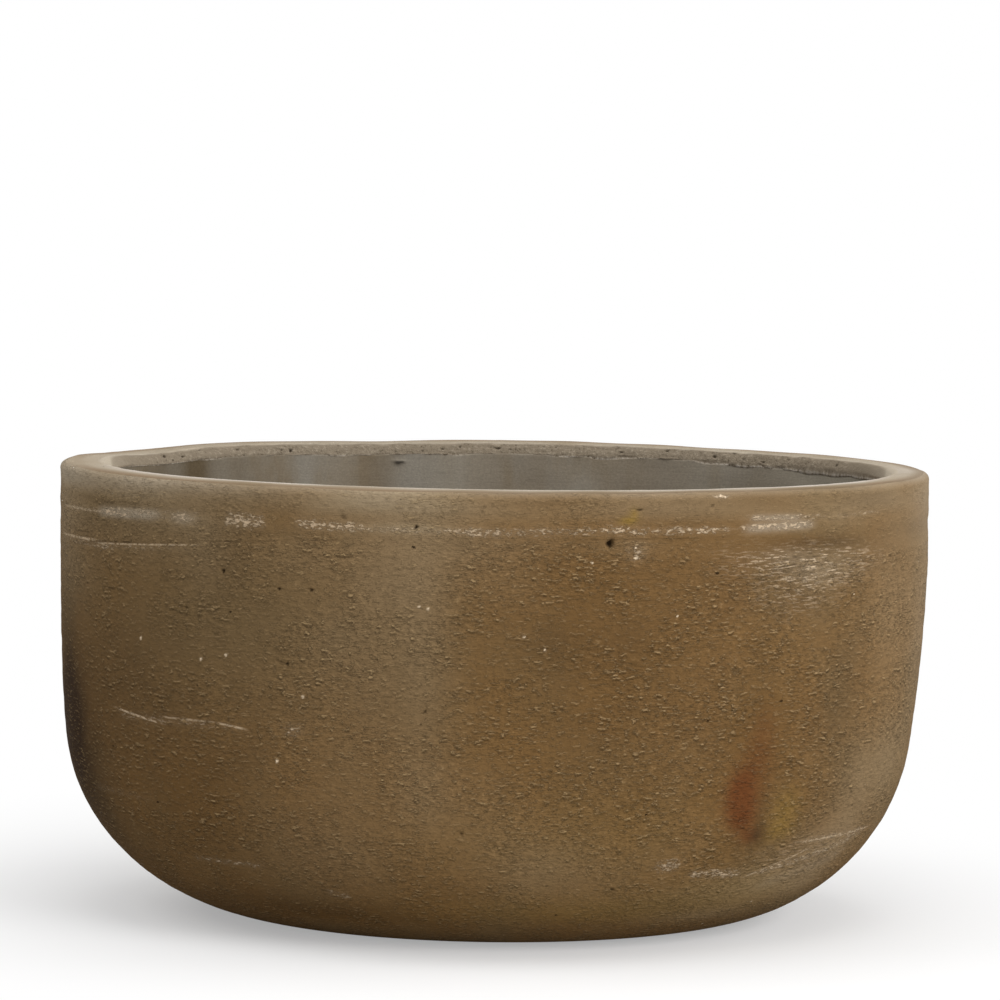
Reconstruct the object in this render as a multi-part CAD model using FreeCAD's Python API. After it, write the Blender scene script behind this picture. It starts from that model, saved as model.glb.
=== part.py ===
"""Oval low pot of thick fired clay: the body, its inner seal coat, a drain plug and foot pads.

Millimetres, +Z up, +X along the length. The origin is the middle of the pot on the floor.
"""

import FreeCAD
import Part

import math
import os

# Clay body, overall
rim_length = 500.0
rim_depth = 380.0
clay_height = 258.5
wall = 30.0
floor_thickness = 30.0

# Clay body, its profile along the length
foot_length = 282.0
wall_bow_radius = 2600.0
heel_radius = 119.0
inner_heel_radius = 90.0
lip_outer_radius = 4.0
lip_inner_radius = 6.0

# Clay body, the turned groove under the lip
groove_drop = 29.0
groove_width = 11.0
groove_depth = 0.7

# Clay body, underside
foot_ring_width = 18.0
recess_depth = 2.5
drain_bore = 30.0

# Seal coat, whose upper edge lies under the rounding of the lip
coat_thickness = 1.5
coat_edge_drop = 1.0

# Drain plug
plug_clearance = 0.3
plug_seat_gap = 0.2
plug_taper = 1.0
plug_tip_clearance = 4.0
plug_tip_chamfer = 1.5
flange_overlap = 8.0
flange_thickness = 4.0
flange_edge_radius = 1.2
tab_width = 22.0
tab_height = 18.0
tab_thickness = 5.0
tab_edge_radius = 1.5

# Foot pads
pad_diameter = 32.0
pad_proud = 1.5
pad_edge_gap = 4.0
pad_chamfer = 0.8
pad_angles = (45.0, 135.0, 225.0, 315.0)

# Cuts run past the faces that they open by this much
overrun = 10.0

# Places that follow from the sizes
rim_half = rim_length / 2
foot_half = foot_length / 2
foot_z = pad_proud
top_z = foot_z + clay_height
widest_z = top_z - lip_outer_radius
bow_x = rim_half - wall_bow_radius
floor_z = foot_z + floor_thickness
lip_round_z = top_z - lip_inner_radius
coat_top_z = lip_round_z - coat_edge_drop
recess_z = foot_z + recess_depth
seat_z = floor_z + coat_thickness + plug_seat_gap


def point(x: float, z: float) -> FreeCAD.Vector:
    """A point of a profile, in the plane through the length."""
    return FreeCAD.Vector(x, 0, z)


def line(start: tuple, end: tuple) -> Part.Edge:
    """A straight edge between two profile points."""
    return Part.makeLine(point(*start), point(*end))


def on_arc(centre: tuple, radius: float, angle: float) -> tuple:
    """The profile point at an angle, in radians from +X, of a circle."""
    return centre[0] + radius * math.cos(angle), centre[1] + radius * math.sin(angle)


def arc(centre: tuple, radius: float, first: float, last: float) -> Part.Edge:
    """An arc edge between two angles of a circle."""
    ends_and_middle = [point(*on_arc(centre, radius, a)) for a in (first, (first + last) / 2, last)]
    return Part.Arc(*ends_and_middle).toShape()


def wall_angle(z: float, inset: float) -> float:
    """The angle, on the bow of the wall, of the point at height z."""
    return math.asin((z - widest_z) / (wall_bow_radius - inset))


def turned(edges: list) -> Part.Shape:
    """The solid that a closed profile sweeps round the Z axis."""
    face = Part.Face(Part.Wire(edges))
    return face.revolve(FreeCAD.Vector(0, 0, 0), FreeCAD.Vector(0, 0, 1), 360)


def oval(shape: Part.Shape, inset: float) -> Part.Shape:
    """The round shape made oval, so that an inset from the rim is the same at the sides and the ends."""
    stretch = FreeCAD.Matrix()
    stretch.scale(1, (rim_depth / 2 - inset) / (rim_half - inset), 1)
    return shape.transformGeometry(stretch)


def heel_centre() -> tuple:
    """The centre of the heel's arc, which touches the wall's bow and runs through the foot's edge."""
    run, rise = foot_half - bow_x, foot_z - widest_z
    span = math.hypot(run, rise)
    reach = wall_bow_radius - heel_radius
    along = (reach**2 - heel_radius**2 + span**2) / (2 * span)
    aside = math.sqrt(reach**2 - along**2)
    return bow_x + (along * run - aside * rise) / span, widest_z + (along * rise + aside * run) / span


def outer_solid() -> Part.Shape:
    """The pot as if it were filled up, with the groove turned into its wall."""
    centre = heel_centre()
    bow = (bow_x, widest_z)
    foot_angle = math.atan2(foot_z - centre[1], foot_half - centre[0])
    joint_angle = math.atan2(centre[1] - widest_z, centre[0] - bow_x)
    groove_z = top_z - groove_drop
    low, middle, high = (wall_angle(groove_z + side * groove_width / 2, 0) for side in (-1, 0, 1))
    groove = Part.Arc(
        point(*on_arc(bow, wall_bow_radius, low)),
        point(*on_arc(bow, wall_bow_radius - groove_depth, middle)),
        point(*on_arc(bow, wall_bow_radius, high)),
    ).toShape()
    lip_end = (rim_half - lip_outer_radius, top_z)
    profile = [
        line((0, foot_z), (foot_half, foot_z)),
        arc(centre, heel_radius, foot_angle, joint_angle),
        arc(bow, wall_bow_radius, joint_angle, low),
        groove,
        arc(bow, wall_bow_radius, high, 0),
        arc((lip_end[0], widest_z), lip_outer_radius, 0, math.pi / 2),
        line(lip_end, (0, top_z)),
        line((0, top_z), (0, foot_z)),
    ]
    return oval(turned(profile), 0)


def hollow(inset: float, bottom_z: float, end_z: float, flare: float = 0) -> Part.Shape:
    """The space inside the wall, from bottom_z up to end_z, with its mouth flared over the lip if asked."""
    bow = (bow_x, widest_z)
    heel = inner_heel_radius - (inset - wall)
    centre_z = bottom_z + heel
    reach = wall_bow_radius - inset - heel
    centre = (bow_x + math.sqrt(reach**2 - (centre_z - widest_z) ** 2), centre_z)
    joint_angle = math.atan2(centre_z - widest_z, centre[0] - bow_x)
    end_angle = wall_angle(end_z, inset)
    mouth = on_arc(bow, wall_bow_radius - inset, end_angle)
    profile = [
        line((0, bottom_z), (centre[0], bottom_z)),
        arc(centre, heel, -math.pi / 2, joint_angle),
        arc(bow, wall_bow_radius - inset, joint_angle, end_angle),
    ]
    if flare:
        profile.append(arc((mouth[0] + flare, end_z), flare, math.pi, math.pi / 2))
        brim = (mouth[0] + flare, end_z + flare)
        mouth = (brim[0], brim[1] + overrun)
        profile.append(line(brim, mouth))
    profile.append(line(mouth, (0, mouth[1])))
    profile.append(line((0, mouth[1]), (0, bottom_z)))
    return oval(turned(profile), inset)


def drain_hole(radius: float) -> Part.Shape:
    """A round bar that cuts the drain hole through the whole floor."""
    length = floor_thickness + coat_thickness + 2 * overrun
    return Part.makeCylinder(radius, length, FreeCAD.Vector(0, 0, foot_z - overrun))


def clay_body() -> Part.Shape:
    """The fired pot: hollowed, with a shallow recess under it and a drain hole in the floor."""
    body = outer_solid().cut(hollow(wall, floor_z, lip_round_z, lip_inner_radius))
    disc = Part.makeCylinder(foot_half - foot_ring_width, recess_depth + overrun)
    recess = oval(disc, foot_ring_width)
    recess.translate(FreeCAD.Vector(0, 0, recess_z - recess_depth - overrun))
    return body.cut(recess).cut(drain_hole(drain_bore / 2))


def inner_seal_coat() -> Part.Shape:
    """The thin coat on the wall and floor inside, open at the drain hole."""
    skin = hollow(wall, floor_z, coat_top_z)
    inside = hollow(wall + coat_thickness, floor_z + coat_thickness, coat_top_z)
    return skin.cut(inside).cut(drain_hole(drain_bore / 2))


def drain_plug() -> Part.Shape:
    """A rubber bung: a tapered stem in the hole, a flange on the coat and a tab to pull it by."""
    stem = drain_bore / 2 - plug_clearance
    tip = stem - plug_taper
    tip_z = recess_z + plug_tip_clearance
    rim = drain_bore / 2 + flange_overlap
    flange_z = seat_z + flange_thickness
    corners = [
        (0, tip_z),
        (tip - plug_tip_chamfer, tip_z),
        (tip, tip_z + plug_tip_chamfer),
        (stem, seat_z),
        (rim, seat_z),
        (rim, flange_z - flange_edge_radius),
        (rim - flange_edge_radius, flange_z),
        (0, flange_z),
    ]
    sides = [line(a, b) for a, b in zip(corners, corners[1:] + corners[:1])]
    sides[5] = arc((corners[6][0], corners[5][1]), flange_edge_radius, 0, math.pi / 2)
    bung = turned(sides)

    round_z = flange_z + tab_height - tab_width / 2
    back = FreeCAD.Vector(-tab_width / 2, -tab_thickness / 2, seat_z)
    shank = Part.makeBox(tab_width, tab_thickness, round_z - seat_z, back)
    axis_start = FreeCAD.Vector(0, -tab_thickness / 2, round_z)
    crown = Part.makeCylinder(tab_width / 2, tab_thickness, axis_start, FreeCAD.Vector(0, 1, 0))
    tab = shank.fuse(crown).removeSplitter()
    faces = [f for f in tab.Faces if abs(f.CenterOfMass.y) * 2 > tab_thickness - tab_edge_radius]
    rounded = {e.hashCode(): e for f in faces for e in f.Edges if e.CenterOfMass.z > seat_z + tab_edge_radius}
    tab = tab.makeFillet(tab_edge_radius, list(rounded.values()))
    return bung.fuse(tab).removeSplitter()


def foot_pads() -> Part.Shape:
    """Four pads glued up into the recess, standing a little proud of the foot ring."""
    radius = pad_diameter / 2
    margin = foot_ring_width + pad_edge_gap + radius
    ring_half_depth = foot_half * rim_depth / rim_length
    pads = []
    for angle in pad_angles:
        turn = math.radians(angle)
        place = FreeCAD.Vector(
            (foot_half - margin) * math.cos(turn), (ring_half_depth - margin) * math.sin(turn), 0
        )
        pad = Part.makeCylinder(radius, recess_z, place)
        floor_edge = min(pad.Edges, key=lambda e: e.CenterOfMass.z)
        pads.append(pad.makeChamfer(pad_chamfer, [floor_edge]))
    return Part.makeCompound(pads)


def main() -> None:
    """Writes each piece to its own file."""
    os.makedirs("parts", exist_ok=True)
    for make in (clay_body, inner_seal_coat, drain_plug, foot_pads):
        shape = make()
        shape.exportStep(os.path.join("parts", make.__name__ + ".step"))
        print(make.__name__, "solids", len(shape.Solids), "valid", shape.isValid(), "cm3", shape.Volume / 1000)


main()
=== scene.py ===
"""Oval low pot of coarse fired clay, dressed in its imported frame.

The clay body and the seal coat are remodelled over their solids, with the turning lines, pits, ragged edge
and unevenness of a pot that was made by hand. The drain plug and the foot pads keep their solids.
"""

import functools
import logging
import math
from collections.abc import Callable, Sequence
from dataclasses import dataclass, field
from enum import IntEnum
from typing import Any

import bmesh
import bpy
import numpy as np
from mathutils import Matrix, Vector
from mathutils.bvhtree import BVHTree


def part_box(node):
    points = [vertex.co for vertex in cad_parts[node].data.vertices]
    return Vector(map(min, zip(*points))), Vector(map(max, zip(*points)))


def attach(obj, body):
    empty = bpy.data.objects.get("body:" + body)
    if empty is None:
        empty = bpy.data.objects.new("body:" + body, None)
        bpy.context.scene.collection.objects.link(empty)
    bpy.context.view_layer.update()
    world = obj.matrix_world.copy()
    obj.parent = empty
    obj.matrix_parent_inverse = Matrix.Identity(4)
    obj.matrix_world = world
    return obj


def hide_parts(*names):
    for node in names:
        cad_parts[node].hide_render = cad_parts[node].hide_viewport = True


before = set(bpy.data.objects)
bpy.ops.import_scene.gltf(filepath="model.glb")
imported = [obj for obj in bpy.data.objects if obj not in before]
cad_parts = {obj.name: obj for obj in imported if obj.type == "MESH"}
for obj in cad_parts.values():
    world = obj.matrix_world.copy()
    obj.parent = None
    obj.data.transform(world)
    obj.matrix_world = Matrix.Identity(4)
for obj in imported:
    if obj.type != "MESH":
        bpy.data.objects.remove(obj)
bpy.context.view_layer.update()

LOG = logging.getLogger("oval_low_pot")
MM = 0.001
Pair = tuple[float, float]
Triple = tuple[float, float, float]
Pixel = Pair
Colour = Triple

# A pit of this depth or more is painted fully dark: painted shade in its hole
FULL_DEPTH = 1.4 * MM


class Zone(IntEnum):
    """The stretches of the clay wall's section, in the order in which its rows run."""

    UNDERSIDE = 0
    HEEL = 1
    WALL = 2
    LIP_EDGE = 3
    LIP = 4
    BAND = 5
    APRON = 6
    INSIDE = 7


# The stretches that make up the outside
OUTSIDE = (Zone.HEEL, Zone.WALL, Zone.LIP_EDGE)


def smooth_step(low: float, high: float, values: np.ndarray) -> np.ndarray:
    """A smooth rise from 0 at low to 1 at high."""
    share = np.clip((values - low) / (high - low), 0, 1)
    return share * share * (3 - 2 * share)


def hump(values: np.ndarray, middle: float, half_width: float) -> np.ndarray:
    """A smooth hump of height 1 round a middle."""
    return np.exp(-(((values - middle) / half_width) ** 2))


@dataclass(frozen=True)
class PhotoView:
    """The viewpoint of the photograph, fitted to the pot's outline. Angles in radians, lengths in metres."""

    picture: float = 1000.0
    focal_pixels: float = 4306.7
    distance: float = 2.5
    elevation: float = math.radians(7.662)
    roll: float = math.radians(0.819)
    middle_pixel: Pixel = (491.8, 688.0)
    middle: Vector = field(default_factory=lambda: Vector((0, 0, 130 * MM)))
    sensor: float = 36.0

    def place(self) -> Vector:
        """Where the camera stands."""
        back = Vector((0, -math.cos(self.elevation), math.sin(self.elevation)))
        return self.middle + back * self.distance

    def local(self, pixel: Pixel) -> Vector:
        """The direction of a pixel, in the camera's own axes."""
        half = self.picture / 2
        return Vector((pixel[0] - half, half - pixel[1], -self.focal_pixels)).normalized()

    def turn(self) -> Matrix:
        """The camera's rotation, which puts the pot's middle on its pixel with no lens shift.

        Returns:
            The rotation from the camera's own axes to the pot's.
        """
        ahead = (self.middle - self.place()).normalized()
        level = Vector((1, 0, 0))
        up = level.cross(ahead)
        cosine, sine = math.cos(self.roll), math.sin(self.roll)
        axes = Matrix((level * cosine + up * sine, up * cosine - level * sine, -ahead)).transposed()
        swing = Vector((0, 0, -1)).rotation_difference(self.local(self.middle_pixel)).to_matrix()
        return axes @ swing.transposed()

    def ray(self, pixel: Pixel) -> tuple[Vector, Vector]:
        """The sight line of a pixel.

        Args:
            pixel: A place in the photograph's 1000 by 1000 frame.

        Returns:
            The line's start and its direction.
        """
        return self.place(), self.turn() @ self.local(pixel)

    def strike(self, tree: BVHTree, pixel: Pixel) -> tuple[Vector, Vector]:
        """The point of the pot that a pixel shows.

        Args:
            tree: The pot's faces.
            pixel: A place in the photograph's frame.

        Returns:
            The point and the outward normal there.
        """
        point, outward = tree.ray_cast(*self.ray(pixel))[:2]
        if point is None:
            raise ValueError(f"pixel {pixel} misses the pot")
        return point, outward

    def make_camera(self) -> None:
        """Adds the camera and makes it the scene's own."""
        lens = bpy.data.cameras.new("photo_view")
        lens.sensor_width = self.sensor
        lens.lens = self.focal_pixels / self.picture * self.sensor
        camera = bpy.data.objects.new("photo_view", lens)
        camera.matrix_world = Matrix.Translation(self.place()) @ self.turn().to_4x4()
        bpy.context.scene.collection.objects.link(camera)
        bpy.context.scene.camera = camera


@dataclass(frozen=True)
class Ripple:
    """A smooth random unevenness that closes round the ring.

    around and down are its usual lengths along the ring and down the section, in metres.
    size is its spread.
    """

    around: float
    down: float
    seed: int
    size: float = 1.0
    waves: int = 48

    def at(self, ring: np.ndarray, run: np.ndarray, girth: float) -> np.ndarray:
        """The unevenness at places on the wall.

        Args:
            ring: Lengths along the ring.
            run: Lengths down the section.
            girth: The ring's whole length.

        Returns:
            Values about 0.
        """
        dice = np.random.default_rng(self.seed)
        turns = np.rint(dice.normal(0, 0.7 * girth / self.around, self.waves))
        slopes = dice.normal(0, 0.7 * math.tau / self.down, self.waves)
        phases = dice.uniform(0, math.tau, self.waves)
        total = np.zeros(np.broadcast(ring, run).shape)
        for turn, slope, phase in zip(turns, slopes, phases):
            total += np.cos(math.tau * turn / girth * ring + slope * run + phase)
        return total * self.size * math.sqrt(2 / self.waves)

    def along(self, ring: np.ndarray, girth: float) -> np.ndarray:
        """The unevenness along the ring alone."""
        return self.at(ring, np.zeros(1), girth)


@dataclass(frozen=True)
class Swell:
    """A smooth rise round a middle, which is a share of the ring or a drop below the lip."""

    middle: float
    half_width: float
    rise: float

    def at(self, places: np.ndarray) -> np.ndarray:
        """The rise at places."""
        return self.rise * hump(places, self.middle, self.half_width)


@dataclass
class Section:
    """Rows of a wall's section, gathered in order.

    Each row has a radius, a height, an oval ratio, a zone and its share of the way along its stretch.
    """

    rows: list[tuple[float, float, float, int, float]] = field(default_factory=list)

    def line(self, start: Pair, end: Pair, ovals: Pair, zone: Zone, count: int) -> None:
        """Adds rows on a straight stretch.

        Args:
            start: Radius and height of the first row.
            end: Radius and height that the rows run towards, which the next stretch begins with.
            ovals: Oval ratio at the start and at the end.
            zone: The stretch that the rows belong to.
            count: How many rows.
        """
        for share in np.arange(count) / count:
            radius, height, oval = (a + (b - a) * share for a, b in zip((*start, ovals[0]), (*end, ovals[1])))
            self.rows.append((radius, height, oval, zone, share))

    def arc(self, centre: Pair, radius: float, angles: Pair, oval: float, zone: Zone, count: int) -> None:
        """Adds rows on an arc.

        Args:
            centre: Radius and height of the arc's centre.
            radius: The arc's own radius.
            angles: First and last angle, in radians from straight out.
            oval: Oval ratio of all its rows.
            zone: The stretch that the rows belong to.
            count: How many rows.
        """
        for share in np.arange(count) / count:
            angle = angles[0] + (angles[1] - angles[0]) * share
            place = (centre[0] + radius * math.cos(angle), centre[1] + radius * math.sin(angle))
            self.rows.append((*place, oval, zone, share))

    def columns(self) -> list[np.ndarray]:
        """The rows as upright arrays: radii, heights, ovals, zones and shares."""
        return [np.array(column)[:, None] for column in zip(*self.rows)]


@dataclass(frozen=True)
class PotShape:
    """The sizes of the clay and its coat, in metres. The box comes from the frame."""

    low: Vector
    high: Vector
    wall: float = 30 * MM
    floor_thickness: float = 30 * MM
    foot_half: float = 141 * MM
    bow_radius: float = 2600 * MM
    heel_radius: float = 119 * MM
    inner_heel_radius: float = 90 * MM
    lip_outer_radius: float = 4 * MM
    lip_inner_radius: float = 6 * MM
    foot_ring: float = 18 * MM
    recess_depth: float = 2.5 * MM
    drain_radius: float = 15 * MM
    coat: float = 1.5 * MM
    groove_drop: float = 29 * MM
    groove_half_width: float = 5.5 * MM
    groove_depth: float = 0.3 * MM
    mouth_shift: float = 2.0 * MM
    mouth_spread: float = 3.7 * MM
    ring_columns: int = 440
    sag_reach: float = 60 * MM
    sags: tuple[Swell, ...] = (
        Swell(0.186, 0.03, 2.3 * MM),
        Swell(0.065, 0.045, 0.9 * MM),
        Swell(0.866, 0.05, 0.8 * MM),
    )
    rag_drop: float = 2.2 * MM
    rag_limits: Pair = (-2.6 * MM, 1.7 * MM)
    rag_waves: tuple[Ripple, ...] = (
        Ripple(0.16, 1, 11, 1.0 * MM),
        Ripple(0.035, 1, 12, 0.45 * MM),
        Ripple(0.009, 1, 13, 0.2 * MM),
    )
    rag_swells: tuple[Swell, ...] = (
        Swell(0.115, 0.03, 2.5 * MM),
        Swell(0.172, 0.036, 0.6 * MM),
        Swell(0.225, 0.04, 2.2 * MM),
        Swell(0.905, 0.03, 2.0 * MM),
    )

    @property
    def half_length(self) -> float:
        """Half the length over the rim."""
        return self.high.x

    @property
    def top(self) -> float:
        """The height of the lip."""
        return self.high.z

    @property
    def foot(self) -> float:
        """The height of the foot ring."""
        return self.low.z

    @property
    def floor(self) -> float:
        """The height of the clay floor inside."""
        return self.foot + self.floor_thickness

    @property
    def widest(self) -> float:
        """The height at which the bowed wall is upright."""
        return self.top - self.lip_outer_radius

    @property
    def bow(self) -> Pair:
        """The centre of the wall's bow."""
        return self.half_length - self.bow_radius, self.widest

    def oval(self, inset: float = 0.0) -> float:
        """Depth over length of the ring that lies an inset inside the rim."""
        return (self.high.y - inset) / (self.half_length - inset)

    def heel_centre(self) -> Pair:
        """The centre of the outer heel, which touches the wall's bow and runs through the foot's edge.

        Returns:
            Its radius and height.
        """
        run, rise = self.foot_half - self.bow[0], self.foot - self.widest
        span = math.hypot(run, rise)
        reach = self.bow_radius - self.heel_radius
        along = (reach**2 - self.heel_radius**2 + span**2) / (2 * span)
        aside = math.sqrt(reach**2 - along**2)
        return (
            self.bow[0] + (along * run - aside * rise) / span,
            self.bow[1] + (along * rise + aside * run) / span,
        )

    def inner_heel_centre(self) -> Pair:
        """The centre of the heel inside, which touches the floor and the wall's inner bow.

        Returns:
            Its radius and height.
        """
        height = self.floor + self.inner_heel_radius
        reach = self.bow_radius - self.wall - self.inner_heel_radius
        return self.bow[0] + math.sqrt(reach**2 - (height - self.widest) ** 2), height

    def bow_angle(self, height: float, inset: float = 0.0) -> float:
        """The angle on the wall's bow of the point at a height."""
        return math.asin((height - self.widest) / (self.bow_radius - inset))

    def joint_angle(self, centre: Pair) -> float:
        """The angle at which a heel about a centre meets the wall's bow."""
        return math.atan2(centre[1] - self.bow[1], centre[0] - self.bow[0])

    def rim_steps(self, angles: np.ndarray) -> np.ndarray:
        """Lengths along the rim from each angle to the next."""
        return np.hypot(*np.diff([self.half_length * np.cos(angles), self.high.y * np.sin(angles)]))

    def ring_angles(self) -> np.ndarray:
        """Angles of the columns, evenly spaced along the rim from the middle of the back.

        Returns:
            Angles in radians from +X.
        """
        fine = np.linspace(0, math.tau, 8 * self.ring_columns + 1) + math.pi / 2
        lengths = np.concatenate([[0], np.cumsum(self.rim_steps(fine))])
        even = np.arange(self.ring_columns) * lengths[-1] / self.ring_columns
        return np.interp(even, lengths, fine)

    def girth(self) -> float:
        """The length round the rim."""
        angles = self.ring_angles()
        return float(self.rim_steps(np.append(angles, angles[0])).sum())

    def ring(self) -> np.ndarray:
        """Lengths along the rim of the columns."""
        return np.arange(self.ring_columns) * self.girth() / self.ring_columns

    def around(self) -> np.ndarray:
        """Shares of the ring of the columns."""
        return self.ring() / self.girth()

    def turned(self, radius: np.ndarray, height: np.ndarray, oval: np.ndarray) -> np.ndarray:
        """Points of rows that are turned round the oval.

        Args:
            radius: Radii along the length, by row.
            height: Heights, by row and column.
            oval: Oval ratios, by row.

        Returns:
            Rows by columns of points.
        """
        angles = self.ring_angles()
        return np.stack([radius * np.cos(angles), radius * oval * np.sin(angles), height], -1)

    def mouth(self, height: np.ndarray) -> np.ndarray:
        """How far the inside stands aside of its true oval along the length, most at the mouth."""
        aside = self.mouth_shift + self.mouth_spread * np.cos(self.ring_angles())
        return aside * smooth_step(self.floor, self.top, height)

    def sagged(self, height: np.ndarray) -> np.ndarray:
        """Heights, by row and column, with the sag of the lip along the back."""
        sag = sum(swell.at(self.around()) for swell in self.sags)
        return height - sag * smooth_step(self.top - self.sag_reach, self.top, height)

    def edge_height(self) -> np.ndarray:
        """The ragged line where the clay of the lip ends over the coat.

        Returns:
            Heights, by column.
        """
        waves = sum(wave.along(self.ring(), self.girth()) for wave in self.rag_waves)
        waves = waves + sum(swell.at(self.around()) for swell in self.rag_swells)
        middle = self.top - self.lip_inner_radius - self.rag_drop
        return middle + np.clip(waves, *self.rag_limits)


@dataclass(frozen=True)
class Streak:
    """A long mark between two pixels of the photograph, with its half thickness in metres."""

    start: Pixel
    end: Pixel
    thickness: float
    strength: float = 1.0


@dataclass(frozen=True)
class Patch:
    """A rounded mark about a pixel of the photograph, with its half sizes along and down in metres."""

    at: Pixel
    along: float
    down: float
    strength: float = 1.0


@dataclass(frozen=True)
class Stripe:
    """An upright mark on the coat through a pixel of the photograph, with its half width in metres."""

    at: Pixel
    along: float
    strength: float


@dataclass(frozen=True)
class Pit:
    """A hole at a pixel of the photograph, with its half sizes and depth in metres.

    A depth below 0 makes a grain that stands proud.
    """

    at: Pixel
    along: float
    down: float
    depth: float
    spread: float = 1.7
    margin: float = 1.4 * MM

    def reach(self) -> float:
        """How far from its middle a pit moves the surface."""
        return self.spread * max(self.along, self.down) + self.margin


@dataclass
class WallMap:
    """Finds places on the pot by the ring and the run, which is the length down the outside from the lip."""

    view: PhotoView
    ring: np.ndarray
    run: np.ndarray
    points: np.ndarray
    tree: BVHTree

    def place(self, pixel: Pixel) -> tuple[float, float]:
        """The ring and run of the point that a pixel shows.

        Args:
            pixel: A place in the photograph's frame.

        Returns:
            Lengths along the ring and down the run.
        """
        off = np.array(self.view.strike(self.tree, pixel)[0]) - self.points
        row, column = np.unravel_index(int(np.argmin((off**2).sum(-1))), self.ring.shape)
        along = self.points[row, column + 1] - self.points[row, column - 1]
        down = self.points[row - 1, column] - self.points[row + 1, column]
        off = off[row, column]
        ring_step = self.ring[row, column + 1] - self.ring[row, column - 1]
        run_step = self.run[row - 1, column] - self.run[row + 1, column]
        ring = self.ring[row, column] + ring_step * (off @ along) / (along @ along)
        return float(ring), float(self.run[row, column] + run_step * (off @ down) / (down @ down))

    def off(self, mark: Streak) -> tuple[np.ndarray, np.ndarray]:
        """Where the points of the wall lie by a long mark.

        Args:
            mark: The long mark.

        Returns:
            How far along it each point lies, as a share of its length, and how far beside it.
        """
        (ring_0, run_0), (ring_1, run_1) = self.place(mark.start), self.place(mark.end)
        along, down = ring_1 - ring_0, run_1 - run_0
        length = max(math.hypot(along, down), MM)
        share = ((self.ring - ring_0) * along + (self.run - run_0) * down) / length**2
        return share, ((self.run - run_0) * along - (self.ring - ring_0) * down) / length

    def ends(self, mark: Streak) -> np.ndarray:
        """A weight of 1 along a long mark that fades at both ends."""
        share = self.off(mark)[0]
        return smooth_step(-0.12, 0.12, share) * smooth_step(-0.12, 0.12, 1 - share)

    def streak(self, mark: Streak) -> np.ndarray:
        """The weight of a long mark all over the wall."""
        return mark.strength * self.ends(mark) * hump(self.off(mark)[1], 0, mark.thickness)

    def patch(self, mark: Patch) -> np.ndarray:
        """The weight of a rounded mark all over the wall."""
        ring, run = self.place(mark.at)
        return mark.strength * hump(self.ring, ring, mark.along) * hump(self.run, run, mark.down)

    def weight(self, mark: Streak | Patch) -> np.ndarray:
        """The weight of a mark of either kind all over the wall."""
        return self.streak(mark) if isinstance(mark, Streak) else self.patch(mark)

    def thin(self, mark: Streak) -> tuple[np.ndarray, np.ndarray]:
        """How far a point lies off a thin mark, in thicknesses, and the mark's strength there."""
        return self.off(mark)[1] / mark.thickness, mark.strength * self.ends(mark)


class Value:
    """A number socket of a shader, so that shader maths reads as plain sums."""

    def __init__(self, bench: "Bench", socket: Any) -> None:
        """Keeps the socket and the node tree that it lives in."""
        self.bench = bench
        self.socket = socket

    def _maths(self, operation: str, *others: Any, first: Any = None) -> "Value":
        """Adds a Math node.

        Args:
            operation: The node's operation.
            others: Numbers or Values that follow the first.
            first: What stands first, which is this value if none is given.

        Returns:
            The node's result.
        """
        values = [self if first is None else first, *others]
        sockets = dict(enumerate(values))
        made = self.bench.node("ShaderNodeMath", {"operation": operation}, sockets)
        return Value(self.bench, made.outputs[0])

    def __add__(self, other: Any) -> "Value":
        """self + other."""
        return self._maths("ADD", other)

    def __sub__(self, other: Any) -> "Value":
        """self - other."""
        return self._maths("SUBTRACT", other)

    def __rsub__(self, other: Any) -> "Value":
        """other - self."""
        return self._maths("SUBTRACT", self, first=other)

    def __mul__(self, other: Any) -> "Value":
        """self * other."""
        return self._maths("MULTIPLY", other)

    __radd__ = __add__
    __rmul__ = __mul__

    def top(self, other: Any) -> "Value":
        """The larger of two values."""
        return self._maths("MAXIMUM", other)

    def ease(self, low: float, high: float) -> "Value":
        """A smooth rise from 0 to 1.

        Args:
            low: The value that gives 0.
            high: The value that gives 1, which may be the smaller one.

        Returns:
            The eased value.
        """
        settings = {"interpolation_type": "SMOOTHSTEP"}
        sockets = {"Value": self, "From Min": low, "From Max": high}
        return Value(self.bench, self.bench.node("ShaderNodeMapRange", settings, sockets).outputs["Result"])


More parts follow.
